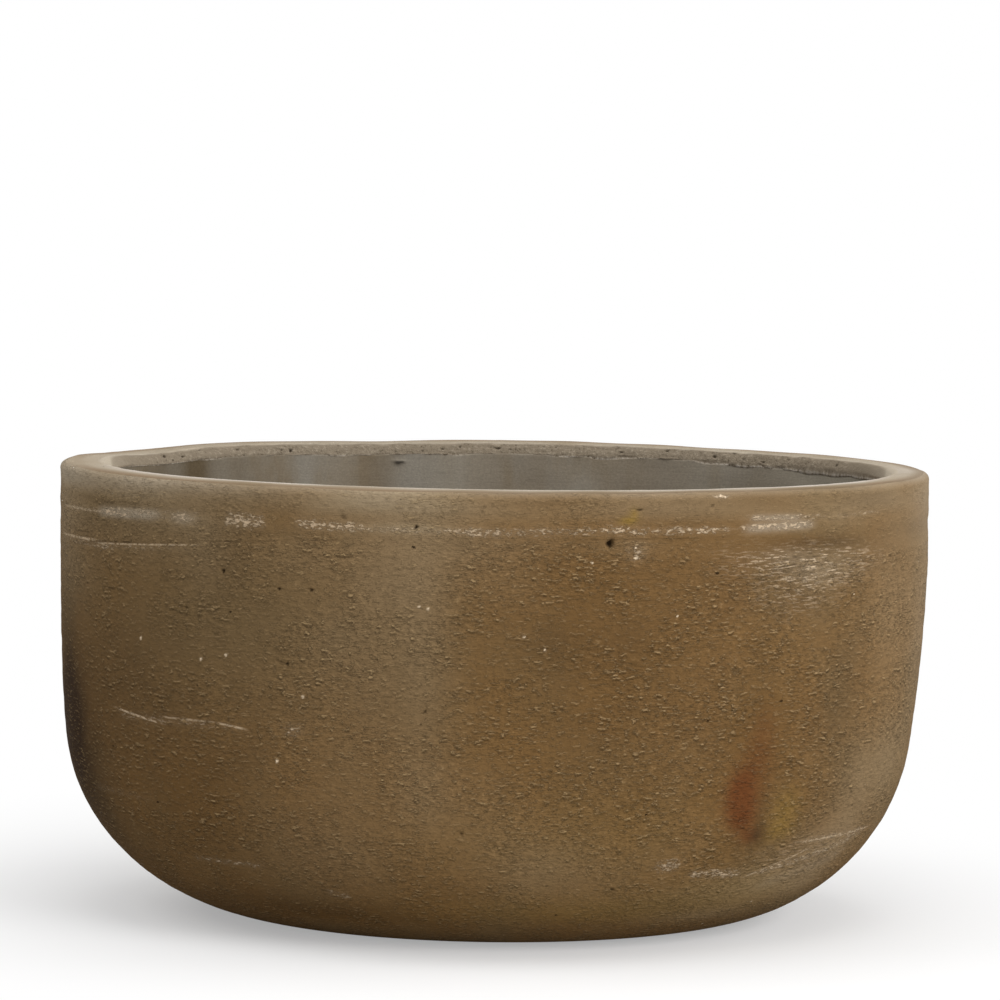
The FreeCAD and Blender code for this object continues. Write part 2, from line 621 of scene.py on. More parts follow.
class Bench:
    """A node tree under construction."""

    def __init__(self, tree: bpy.types.NodeTree) -> None:
        """Clears the tree."""
        self.tree = tree
        tree.nodes.clear()

    def node(self, kind: str, settings: dict[str, Any], sockets: dict[Any, Any]) -> bpy.types.Node:
        """Adds one node.

        Args:
            kind: The node's type.
            settings: Its own properties, set first.
            sockets: Values, sockets or Values for its inputs, by name or number.

        Returns:
            The new node.
        """
        made = self.tree.nodes.new(kind)
        for name, setting in settings.items():
            setattr(made, name, setting)
        for name, given in sockets.items():
            given = given.socket if isinstance(given, Value) else given
            if isinstance(given, bpy.types.NodeSocket):
                self.tree.links.new(given, made.inputs[name])
            else:
                made.inputs[name].default_value = given
        return made

    def painted(self, name: str) -> Value:
        """A weight that the mesh holds at its points."""
        return Value(self, self.node("ShaderNodeAttribute", {"attribute_name": name}, {}).outputs["Fac"])

    def lay(self, around: float, down: float, start: Triple = (0, 0, 0)) -> Any:
        """Places on the wall in noise lengths, so that a grain can run along the ring.

        Args:
            around: Grains per metre along the ring.
            down: Grains per metre down the section.
            start: An offset that sets one grain apart from another.

        Returns:
            A vector socket.
        """
        place = self.node("ShaderNodeAttribute", {"attribute_name": "lay"}, {}).outputs["Vector"]
        sockets = {0: place, 1: (around, around, down), 2: start}
        return self.node("ShaderNodeVectorMath", {"operation": "MULTIPLY_ADD"}, sockets).outputs[0]

    def noise(self, place: Any, detail: float = 2.0, rough: float = 0.5, warp: float = 0.0) -> Value:
        """Soft noise about one half at places."""
        sockets = {"Vector": place, "Scale": 1.0, "Detail": detail, "Roughness": rough, "Distortion": warp}
        return Value(self, self.node("ShaderNodeTexNoise", {}, sockets).outputs["Fac"])

    def cells(self, place: Any, warp: float) -> tuple[Value, Value]:
        """Scattered cells with ragged outlines.

        Args:
            place: A vector socket.
            warp: How far the outlines wander, in cells.

        Returns:
            The distance from each cell's seed, and a number of the cell's own.
        """
        sockets = {"Vector": place, "Scale": 9.0, "Detail": 2.0}
        wander = self.node("ShaderNodeTexNoise", {}, sockets).outputs["Color"]
        sockets = {0: wander, 1: (warp, warp, warp), 2: place}
        ragged = self.node("ShaderNodeVectorMath", {"operation": "MULTIPLY_ADD"}, sockets).outputs[0]
        made = self.node("ShaderNodeTexVoronoi", {}, {"Vector": ragged, "Scale": 1.0})
        split = self.node("ShaderNodeSeparateColor", {}, {"Color": made.outputs["Color"]})
        return Value(self, made.outputs["Distance"]), Value(self, split.outputs[0])

    def blend(self, under: Any, over: Any, weight: Any) -> Any:
        """One colour laid over another.

        Args:
            under: A colour or a colour socket.
            over: The same, for what lies over it.
            weight: How much of the upper one shows.

        Returns:
            A colour socket.
        """
        colours = [(*c, 1.0) if isinstance(c, tuple) else c for c in (under, over)]
        sockets = {"Factor": weight, 6: colours[0], 7: colours[1]}
        return self.node("ShaderNodeMix", {"data_type": "RGBA"}, sockets).outputs[2]

    def scaled(self, vector: Any, factor: Any) -> Any:
        """A colour made lighter or darker, or a place in other lengths, by a factor."""
        sockets = {0: vector, "Scale": factor}
        return self.node("ShaderNodeVectorMath", {"operation": "SCALE"}, sockets).outputs[0]

    def relief(self, height: Value, depth: float) -> Any:
        """A bump for the Normal socket from a height of 0 to 1 that stands for a depth in metres."""
        sockets = {"Height": height, "Distance": depth, "Strength": 1.0}
        return self.node("ShaderNodeBump", {}, sockets).outputs[0]

    def seen(self) -> Value:
        """1 for rays that show a surface to the eye, straight on or by way of gloss or glass, and else 0.

        Returns:
            The test of the ray.
        """
        path = self.node("ShaderNodeLightPath", {}, {}).outputs
        kinds = ("Is Camera Ray", "Is Glossy Ray", "Is Transmission Ray")
        return functools.reduce(Value.top, [Value(self, path[kind]) for kind in kinds])

    def surface(self, colour: Any, roughness: Value, normal: Any, gloss: float) -> None:
        """Joins a Principled shader to the output.

        Args:
            colour: A colour socket.
            roughness: How matt the surface is.
            normal: A normal socket.
            gloss: The specular level, the same all over.
        """
        sockets = {"Base Color": colour, "Roughness": roughness, "Normal": normal}
        shader = self.node("ShaderNodeBsdfPrincipled", {}, {**sockets, "Specular IOR Level": gloss})
        self.node("ShaderNodeOutputMaterial", {}, {"Surface": shader.outputs[0]})


def new_material(name: str) -> tuple[bpy.types.Material, Bench]:
    """A material with an empty node tree.

    Args:
        name: The material's name.

    Returns:
        The material and the bench on which its nodes are made.
    """
    made = bpy.data.materials.new(name)
    made.use_nodes = True
    return made, Bench(made.node_tree)


class ClayGrain:
    """The noises of the clay that the layers of its finish share."""

    def __init__(self, bench: Bench) -> None:
        """Makes the noises, from the broadest to the finest.

        Args:
            bench: Where the nodes are made.
        """
        self.bench = bench
        self.tone = bench.noise(bench.lay(7, 10), detail=4, rough=0.6)
        self.cloud = bench.noise(bench.lay(14, 9, (3, 1, 7)), detail=3)
        self.patchy = bench.noise(bench.lay(26, 40, (6, 3, 8)), detail=3).ease(0.36, 0.62)
        self.rough = bench.painted("coarse") * (self.patchy * 0.6 + 0.5)
        self.drag = bench.noise(bench.lay(110, 660, (8, 2, 5)), detail=2, rough=0.6)
        # The same dashes twice, the second a little lower: where it rises below a raised dash is a painted
        # shadow
        dash, under = (
            bench.noise(bench.lay(220, 900, (1, 9, drop)), detail=3, rough=0.6, warp=0.4) for drop in (4, 2.9)
        )
        self.ridge = dash.ease(0.54, 0.64)
        self.dash_shadow = under.ease(0.54, 0.64) * (1 - self.ridge)
        self.fleck = bench.noise(bench.lay(320, 760, (5, 5, 1)), detail=3, rough=0.65)
        self.grit = bench.noise(bench.lay(330, 700), detail=2, rough=0.6)
        self.fine = bench.noise(bench.lay(1300, 1500), detail=2)


@dataclass(frozen=True)
class ClayFinish:
    """Coarse fired clay: scraped along the ring, darker in patches, scuffed pale and sanded on the lip, with
    painted light and shade in its colour.
    """

    brown: Colour = (0.184, 0.105, 0.0410)
    dark_brown: Colour = (0.157, 0.0895, 0.0360)
    olive: Colour = (0.164, 0.111, 0.054)
    russet: Colour = (0.180, 0.097, 0.032)
    # Paler patches: partly the clay's own tone, partly painted light
    tan: Colour = (0.300, 0.222, 0.132)
    # Darker patches: partly the clay's own tone, partly painted shade
    darkening: Colour = (0.038, 0.022, 0.012)
    # Pale on raised dashes and grit: partly pale grit, partly a painted highlight on their tops
    sand: Colour = (0.45, 0.31, 0.16)
    pale: Colour = (0.61, 0.465, 0.315)
    # Pale haze: dust on the scuffs, and painted rim light at both ends
    haze_and_rim_light: Colour = (0.38, 0.315, 0.235)
    lime: Colour = (0.86, 0.69, 0.49)
    # Near black: painted shade in pits, pinholes, cuts and crumb hollows, and under the raised dashes
    pit: Colour = (0.018, 0.010, 0.005)
    lip: Colour = (0.46, 0.395, 0.305)
    # Pale: the painted highlight on the lip's inner edge and right end, and the pale ragged edge over the
    # coat
    brink: Colour = (0.62, 0.56, 0.49)
    band: Colour = (0.228, 0.185, 0.133)
    red: Colour = (0.135, 0.042, 0.014)
    ochre: Colour = (0.270, 0.168, 0.036)
    soot: Colour = (0.055, 0.037, 0.020)
    gloss: float = 0.03
    depth: float = 0.9 * MM
    cuts: int = 0
    lines: int = 0

    def make(self) -> bpy.types.Material:
        """Builds the material's nodes, layer by layer.

        Returns:
            The material.
        """
        made, bench = new_material("fired_clay")
        grain = ClayGrain(bench)
        colour, height = self.earth(grain)
        for layer in (self.scuffed, self.lipped, self.specked):
            colour, more = layer(grain, colour)
            height = height + more
        bench.surface(colour, 0.97 - grain.tone * 0.14, bench.relief(height, self.depth), self.gloss)
        return made

    def earth(self, grain: ClayGrain) -> tuple[Any, Value]:
        """The bare clay, with its grit, its darker and paler patches, which are in part painted shade and
        painted light, the painted highlight and shadow of its raised dashes, and the stains of the fire.

        Args:
            grain: The noises of the clay.

        Returns:
            The colour and the height of the relief.
        """
        bench, grit, rough = grain.bench, grain.grit, grain.rough
        colour = bench.blend(self.dark_brown, self.brown, grain.tone.ease(0.35, 0.6))
        greenish = (grain.cloud.ease(0.42, 0.7) * 0.7).top(bench.painted("olive"))
        colour = bench.blend(colour, self.olive, greenish)
        colour = bench.blend(colour, self.russet, bench.painted("warm"))
        # The light and dark weights are in part painted light and painted shade
        colour = bench.blend(colour, self.tan, bench.painted("light"))
        darkened = bench.painted("dark") * (grain.cloud.ease(0.3, 0.7) * 0.6 + 0.7)
        colour = bench.blend(colour, self.darkening, darkened)
        # Sand on the raised dashes and high grit is partly a painted highlight; near black below the dashes
        # and in low grit is painted shade
        sand_and_highlight = grain.ridge * 0.46 + grit.ease(0.6, 0.8) * 0.3
        colour = bench.blend(colour, self.sand, sand_and_highlight * rough)
        hollow_shade = (grain.dash_shadow * 0.42).top(grit.ease(0.4, 0.18) * 0.25)
        colour = bench.blend(colour, self.pit, hollow_shade * rough)
        shade = (grit - 0.5) * 0.6 + (grain.drag - 0.5) * 0.5
        colour = bench.scaled(colour, shade * rough + grain.fine * 0.4 + 0.8)
        colour = bench.blend(colour, self.ochre, bench.painted("ochre") * 0.8)
        flashed = (bench.painted("flash") * (grain.cloud + 0.5)).ease(0, 1.1)
        colour = bench.blend(colour, self.red, flashed * 0.85)
        colour = bench.blend(colour, self.soot, bench.painted("soot"))
        height = (grit * 1.3 + grain.ridge * 0.7 + grain.drag * 0.5) * rough + grain.fine * 0.12
        return colour, height

    def scuffed(self, grain: ClayGrain, colour: Any) -> tuple[Any, Value]:
        """The pale scuffs and hazes with painted rim light, the scratched patches with painted shadow between
        their dashes, the cuts painted dark as shade in them, and the thin lines.

        Args:
            grain: The noises of the clay.
            colour: The colour under this layer.

        Returns:
            The colour with this layer on it and the height that it adds.
        """
        bench, fleck = grain.bench, grain.fleck
        scuff, scratch = bench.painted("scuff"), bench.painted("scratch")
        scraped = (fleck + scuff * 0.2).ease(0.59, 0.71) * scuff.ease(0.02, 0.5)
        scrape = bench.noise(bench.lay(120, 1000, (3, 6, 2)), detail=3, rough=0.6)
        dashed = scrape.ease(0.52, 0.59) * scratch * fleck.ease(0.38, 0.5)
        # The haze weight holds dust and painted rim light
        dusty = bench.painted("haze_and_rim_light") * (grain.grit + 0.5)
        colour = bench.blend(colour, self.haze_and_rim_light, (scuff * 0.16 + scratch * 0.06).top(dusty * 0.7))
        colour = bench.blend(colour, self.pale, (scraped * 0.7).top(dashed * 0.75))
        # Painted shadow between the scratched dashes
        colour = bench.blend(colour, self.pit, scrape.ease(0.46, 0.36) * scratch * 0.3)
        cut = self.thin_weight(bench, "cut", self.cuts) * grain.patchy * grain.drag.ease(0.3, 0.6)
        line = self.thin_weight(bench, "line", self.lines) * fleck.ease(0.4, 0.52)
        colour = bench.blend(colour, self.pale, line * 0.85)
        # The cuts are painted near black: painted shade in them
        colour = bench.blend(colour, self.pit, cut * 0.75)
        return colour, scraped * 0.5 + dashed * 0.3 - cut * 0.7

    def lipped(self, grain: ClayGrain, colour: Any) -> tuple[Any, Value]:
        """The sanded lip with the painted highlight on its brink, and the crumbly band below it, its hollows
        painted dark as painted shade.

        Args:
            grain: The noises of the clay.
            colour: The colour under this layer.

        Returns:
            The colour with this layer on it and the height that it adds.
        """
        bench = grain.bench
        sanded_and_lit = bench.blend(self.lip, self.tan, grain.cloud.ease(0.45, 0.75) * 0.6)
        # The brink weight is a painted highlight on the lip's inner edge and right end
        sanded_and_lit = bench.blend(sanded_and_lit, self.brink, bench.painted("brink"))
        colour = bench.blend(colour, bench.scaled(sanded_and_lit, grain.fine * 0.5 + 0.75), bench.painted("lip"))
        colour = bench.blend(colour, self.band, bench.painted("band"))
        crumbs = bench.noise(bench.lay(360, 460, (2, 8, 3)), detail=4, rough=0.7)
        crumbly = bench.painted("crumb")
        colour = bench.blend(colour, self.lip, crumbs.ease(0.52, 0.68) * crumbly * 0.42)
        # Near black in the crumbs' hollows: painted shade
        colour = bench.blend(colour, self.pit, crumbs.ease(0.44, 0.28) * crumbly * 0.7)
        colour = bench.blend(colour, self.brink, bench.painted("rag") * crumbs.ease(0.35, 0.6) * 0.6)
        return colour, crumbs * crumbly * 1.5

    def specked(self, grain: ClayGrain, colour: Any) -> tuple[Any, Value]:
        """The specks of lime, and the pinholes painted dark as painted shade in them.

        Args:
            grain: The noises of the clay.
            colour: The colour under this layer.

        Returns:
            The colour with this layer on it and the height that it adds.
        """
        bench = grain.bench
        speck_far, speck_kind = bench.cells(bench.lay(66, 80), 0.12)
        speck = speck_far.ease(0.062, 0.03) * speck_kind.ease(0.9, 0.94)
        hole_far, hole_kind = bench.cells(bench.lay(70, 100, (4, 2, 6)), 0.2)
        hole = hole_far.ease(0.085, 0.03) * hole_kind.ease(0.8, 0.95)
        bare = 1 - bench.painted("band")
        colour = bench.blend(colour, self.lime, (speck * bare).top(bench.painted("grain")))
        # Pinholes and sunk pits painted near black: painted shade in them
        colour = bench.blend(colour, self.pit, (hole * 0.85).top(bench.painted("pit")))
        return colour, speck * 0.3 - hole * 0.9

    def thin_weight(self, bench: Bench, kind: str, count: int) -> Value:
        """The weight of thin marks, each of which the mesh holds as a distance and a strength.

        Args:
            bench: Where the nodes are made.
            kind: The marks' name on the mesh.
            count: How many there are.

        Returns:
            The largest weight of them.
        """
        weights = []
        for number in range(count):
            off = bench.painted(f"{kind}_{number}")
            weights.append((off * off).ease(1.0, 0.1) * bench.painted(f"{kind}_{number}_weight"))
        return functools.reduce(Value.top, weights)


@dataclass(frozen=True)
class CoatFinish:
    """The brushed grey seal coat inside, with painted shade on its left and painted light on its right."""

    grey: Colour = (0.215, 0.180, 0.135)
    cool: Colour = (0.245, 0.220, 0.180)
    warm: Colour = (0.190, 0.145, 0.092)
    stain: Colour = (0.13, 0.105, 0.075)
    # Darker: the brushed stripes, and painted shade on the left of the inside
    umber_and_shade: Colour = (0.105, 0.078, 0.046)
    # Paler: the brushed stripes, and painted light on the right of the inside
    chalk_and_light: Colour = (0.33, 0.295, 0.235)
    # Near black: painted shade in the pinholes and the pit
    pit: Colour = (0.03, 0.025, 0.02)
    gloss: float = 0.03
    depth: float = 0.5 * MM

    def make(self) -> bpy.types.Material:
        """Builds the material's nodes.

        Returns:
            The material.
        """
        made, bench = new_material("seal_coat")
        stripes = bench.noise(bench.lay(16, 3), detail=3)
        clouds = bench.noise(bench.lay(24, 7, (4, 7, 1)), detail=4, rough=0.6)
        colour = bench.blend(self.grey, self.cool, stripes.ease(0.42, 0.6))
        colour = bench.blend(colour, self.warm, clouds.ease(0.46, 0.68) * 0.8)
        # The umber and chalk weights paint shade on the left of the inside and light on its right, over the
        # brushed stripes
        colour = bench.blend(colour, self.umber_and_shade, bench.painted("umber_and_shade") * (stripes + 0.4))
        colour = bench.blend(colour, self.chalk_and_light, bench.painted("chalk_and_light"))
        brush = bench.noise(bench.lay(60, 700, (1, 3, 9)), detail=3, rough=0.6)
        grain = bench.noise(bench.lay(700, 900), detail=3, rough=0.65)
        colour = bench.scaled(colour, brush * 0.12 + grain * 0.6 + 0.64)
        colour = bench.blend(colour, self.stain, bench.painted("stain") * clouds.ease(0.3, 0.6) * 0.8)
        hole_far, hole_kind = bench.cells(bench.lay(65, 80), 0.2)
        hole = hole_far.ease(0.1, 0.04) * hole_kind.ease(0.76, 0.9)
        # Pinholes and the pit painted near black: painted shade in them
        colour = bench.blend(colour, self.pit, (hole * 0.8).top(bench.painted("pit")))
        height = brush * 0.25 + grain * 0.25 - hole
        bench.surface(colour, 0.97 - stripes * 0.1, bench.relief(height, self.depth), self.gloss)
        return made


@dataclass(frozen=True)
class RubberFinish:
    """Moulded matt rubber with a dusting of clay."""

    name: str
    rubber: Colour
    dust: Colour = (0.16, 0.125, 0.085)
    dusty: float = 0.35
    smears: float = 90.0
    skin: float = 1800.0
    depth: float = 0.12 * MM
    gloss: float = 0.4

    def make(self) -> bpy.types.Material:
        """Builds the material's nodes, read by the object's own places, since its solid holds no weights.

        Returns:
            The material.
        """
        made, bench = new_material(self.name)
        place = bench.node("ShaderNodeTexCoord", {}, {}).outputs["Object"]
        smears = bench.noise(bench.scaled(place, self.smears), detail=4, rough=0.65)
        skin = bench.noise(bench.scaled(place, self.skin), detail=2)
        dusted = bench.blend(self.rubber, self.dust, smears.ease(0.5, 0.78) * self.dusty)
        colour = bench.scaled(dusted, skin * 0.5 + 0.75)
        bench.surface(colour, smears * 0.3 + 0.5, bench.relief(skin, self.depth), self.gloss)
        return made


def grid_faces(rows: int, columns: int) -> list[list[int]]:
    """The faces of a grid that joins up both ways.

    Args:
        rows: How many rows of points.
        columns: How many columns of points.

    Returns:
        The numbers of each face's corners.
    """
    corner = np.arange(rows * columns).reshape(rows, columns)
    beside = np.roll(corner, -1, axis=1)
    faces = np.stack([corner, beside, np.roll(beside, -1, axis=0), np.roll(corner, -1, axis=0)], -1)
    return faces.reshape(-1, 4).tolist()


def grid_tree(points: np.ndarray) -> BVHTree:
    """The faces of a grid that joins up both ways, for sight lines."""
    return BVHTree.FromPolygons(points.reshape(-1, 3).tolist(), grid_faces(*points.shape[:2]))


def run_lengths(points: np.ndarray) -> np.ndarray:
    """Mean lengths from the first row of a grid to each row, as an upright array."""
    steps = np.linalg.norm(np.diff(points, axis=0), axis=-1).mean(1)
    return np.concatenate([[0], np.cumsum(steps)])[:, None]


def grid_mesh(name: str, points: np.ndarray, weights: dict[str, np.ndarray]) -> bpy.types.Object:
    """A closed mesh from a grid of points that joins up both ways.

    Args:
        name: The new object's name.
        points: Rows by columns of points.
        weights: Numbers or vectors for each point, kept on the mesh by name.

    Returns:
        The object, linked to the scene.
    """
    mesh = bpy.data.meshes.new(name)
    mesh.from_pydata(points.reshape(-1, 3).tolist(), [], grid_faces(*points.shape[:2]))
    for label, values in weights.items():
        vector = values.ndim == 3
        layer = mesh.attributes.new(label, "FLOAT_VECTOR" if vector else "FLOAT", "POINT")
        numbers = np.ascontiguousarray(values, np.float32).ravel()
        layer.data.foreach_set("vector" if vector else "value", numbers)
    mesh.shade_smooth()
    made = bpy.data.objects.new(name, mesh)
    bpy.context.scene.collection.objects.link(made)
    return made


def grid_normals(points: np.ndarray) -> np.ndarray:
    """Unit normals of a grid of points that joins up both ways.

    Args:
        points: Rows by columns of points.

    Returns:
        Rows by columns of normals.
    """
    along = np.roll(points, -1, axis=1) - np.roll(points, 1, axis=1)
    up = np.roll(points, -1, axis=0) - np.roll(points, 1, axis=0)
    normals = np.cross(along, up)
    return normals / np.maximum(np.linalg.norm(normals, axis=-1, keepdims=True), 1e-12)


def sink_pits(piece: bpy.types.Object, pits: Sequence[tuple[Vector, Vector, Pit]]) -> None:
    """Refines a mesh round each pit and sinks it; a hole is painted dark as painted shade, a proud grain
    pale.

    Args:
        piece: The object whose mesh changes.
        pits: For each pit its middle, the outward normal there, and its sizes.
    """
    work = bmesh.new()
    work.from_mesh(piece.data)
    centres = np.array([face.calc_center_median() for face in work.faces])
    near = np.zeros(len(centres), bool)
    for middle, _, pit in pits:
        near |= np.linalg.norm(centres - np.array(middle), axis=1) < pit.reach()
    work.faces.ensure_lookup_table()
    edges = {edge for index in np.flatnonzero(near) for edge in work.faces[index].edges}
    bmesh.ops.subdivide_edges(work, edges=list(edges), cuts=3, use_grid_fill=True)
    work.verts.ensure_lookup_table()
    places = np.array([vertex.co for vertex in work.verts])
    dark, light = (work.verts.layers.float[name] for name in ("pit", "grain"))
    for middle, outward, pit in pits:
        up = (Vector((0, 0, 1)) - outward * outward.z).normalized()
        along = outward.cross(up)
        paint = dark if pit.depth > 0 else light
        for index in np.flatnonzero(np.linalg.norm(places - np.array(middle), axis=1) < pit.reach()):
            vertex = work.verts[index]
            off = vertex.co - middle
            x, y = off.dot(along) / pit.along, off.dot(up) / pit.down
            angle, lobe = math.atan2(y, x), 40 * pit.along / MM
            ragged = 1 + 0.16 * math.sin(3 * angle + lobe) + 0.14 * math.sin(2 * angle + 2 * lobe)
            weight = 1 / (1 + (math.hypot(x, y) / ragged) ** 6)
            vertex.co -= outward * pit.depth * weight
            # The pit weight darkens a hole by its depth: painted shade in it
            full = min(1, pit.depth / FULL_DEPTH) if pit.depth > 0 else 1
            vertex[paint] = max(vertex[paint], weight * weight * full)
    work.to_mesh(piece.data)
    work.free()


@dataclass
class ClayBody:
    """The fired clay: its section turned round the oval, uneven as a pot made by hand."""

    shape: PotShape
    view: PhotoView
    seed: int = 7
    lean: float = 1.45 * MM
    lean_twice: float = 1.13 * MM
    apron: float = 1.8 * MM
    foot_fade: float = 14 * MM
    fine_drop: float = 58 * MM
    inside_drop: float = 6 * MM
    waves: tuple[Ripple, ...] = (
        Ripple(0.5, 0.3, 1, 0.35 * MM),
        Ripple(0.07, 0.04, 2, 0.07 * MM),
        Ripple(0.03, 0.007, 3, 0.05 * MM, 80),
    )
    lip_wave: Ripple = Ripple(0.08, 0.03, 4, 0.16 * MM)
    crumb_waves: tuple[Ripple, ...] = (
        Ripple(0.012, 0.004, 5, 0.3 * MM, 90),
        Ripple(0.03, 0.01, 6, 0.2 * MM),
    )
    swells: tuple[Swell, ...] = (
        Swell(11 * MM, 6 * MM, -0.2 * MM),
        Swell(20.5 * MM, 1.8 * MM, 0.15 * MM),
        Swell(70 * MM, 50 * MM, 0.6 * MM),
        Swell(156 * MM, 24 * MM, -0.8 * MM),
    )
    scores: tuple[Swell, ...] = (
        Swell(36 * MM, 1.6 * MM, -0.10 * MM),
        Swell(49 * MM, 2.0 * MM, -0.10 * MM),
        Swell(71 * MM, 2.6 * MM, -0.12 * MM),
        Swell(104 * MM, 3.5 * MM, -0.14 * MM),
    )
    score_fade: Ripple = Ripple(0.3, 1, 21, 0.5)
    wear: Ripple = Ripple(0.12, 0.05, 31, 0.4)
    far_tones: tuple[tuple[str, float, Ripple], ...] = (
        ("light", 0.17, Ripple(0.2, 0.12, 51)),
        ("dark", 0.15, Ripple(0.2, 0.12, 52)),
        ("warm", 0.4, Ripple(0.2, 0.12, 53)),
    )
    # Darker just behind the left end, down the middle of the wall
    far_dark: Swell = Swell(0.235, 0.035, 0.45)
    far_dark_run: Swell = Swell(130 * MM, 65 * MM, 1.0)
    far_scuff_count: int = 40

    scuffs: tuple[Streak | Patch, ...] = (
        Streak((70, 507), (125, 513), 2.0 * MM, 0.45),
        Streak((102, 511), (196, 515), 2.6 * MM, 0.5),
        Patch((182, 519), 9 * MM, 2.5 * MM, 0.5),
        Streak((226, 519), (264, 522), 4.0 * MM, 0.85),
        Streak((296, 523), (360, 528), 3.0 * MM, 0.68),
        Streak((360, 528), (468, 532), 2.0 * MM, 0.45),
        Streak((466, 532), (502, 533), 2.4 * MM, 0.75),
        Streak((500, 533), (610, 531), 2.4 * MM, 0.5),
        Streak((606, 530), (650, 531), 2.6 * MM, 0.55),
        Streak((655, 531), (730, 530), 2.2 * MM, 0.65),
        Streak((745, 518), (818, 516), 1.4 * MM, 0.7),
        Streak((742, 529), (812, 524), 2.0 * MM, 0.8),
        Streak((818, 518), (880, 511), 1.6 * MM, 0.3),
        Patch((722, 496), 4 * MM, 1.6 * MM, 1.2),
        Streak((66, 536), (110, 546), 2.4 * MM, 0.4),
        Streak((100, 546), (190, 548), 2.0 * MM, 0.3),
        Streak((120, 713), (160, 721), 2.6 * MM, 0.35),
        Streak((160, 719), (215, 725), 2.4 * MM, 0.35),
        Streak((220, 726), (242, 729), 2.0 * MM, 0.25),
        Streak((96, 785), (150, 798), 1.6 * MM, 0.25),
        Streak((196, 858), (262, 867), 1.6 * MM, 0.6),
        Streak((325, 892), (350, 896), 2.4 * MM, 0.5),
        Patch((293, 731), 5 * MM, 3 * MM, 0.7),
        Patch((668, 866), 8 * MM, 4 * MM, 0.9),
        Streak((690, 874), (740, 873), 2.4 * MM, 0.9),
        Streak((750, 874), (860, 832), 2.2 * MM, 0.7),
        Streak((800, 842), (866, 827), 1.6 * MM, 0.5),
        Patch((636, 553), 5 * MM, 6 * MM, 0.45),
    )
    # Pale hazes: dust on the scuffs, and painted rim light at both ends of the pot
    hazes_and_rim_lights: tuple[Streak | Patch, ...] = (
        Streak((100, 511), (158, 515), 2.6 * MM, 1.25),
        Streak((116, 512), (150, 515), 1.8 * MM, 0.6),
        Patch((183, 518), 8 * MM, 3.0 * MM, 0.8),
        Patch((245, 521), 9 * MM, 3.0 * MM, 0.2),
        Streak((752, 518), (800, 517), 1.8 * MM, 0.75),
        Streak((746, 529), (812, 524), 2.6 * MM, 0.85),
        Patch((786, 557), 16 * MM, 5.0 * MM, 0.22),
        Patch((810, 571), 22 * MM, 9.0 * MM, 0.22),
        Patch((135, 480), 34 * MM, 5.0 * MM, 0.6),
        Patch((200, 486), 50 * MM, 4.0 * MM, 0.4),
        Patch((63, 512), 22 * MM, 34 * MM, 0.22),
        Patch((926, 500), 34 * MM, 18 * MM, 0.30),
        Patch((925, 600), 30 * MM, 70 * MM, 0.25),
        Patch((640, 552), 4 * MM, 5.0 * MM, 0.15),
        Streak((760, 884), (840, 852), 5.0 * MM, 0.2),
        Patch((377, 499), 18 * MM, 4 * MM, 0.3),
    )
    scratches: tuple[Patch, ...] = (
        Patch((792, 557), 18 * MM, 5 * MM, 0.9),
        Patch((815, 568), 26 * MM, 9 * MM, 0.9),
        Patch((850, 560), 22 * MM, 7 * MM, 0.7),
        Patch((800, 590), 24 * MM, 12 * MM, 0.6),
        Patch((745, 562), 16 * MM, 8 * MM, 0.5),
        Patch((800, 855), 30 * MM, 10 * MM, 0.35),
    )
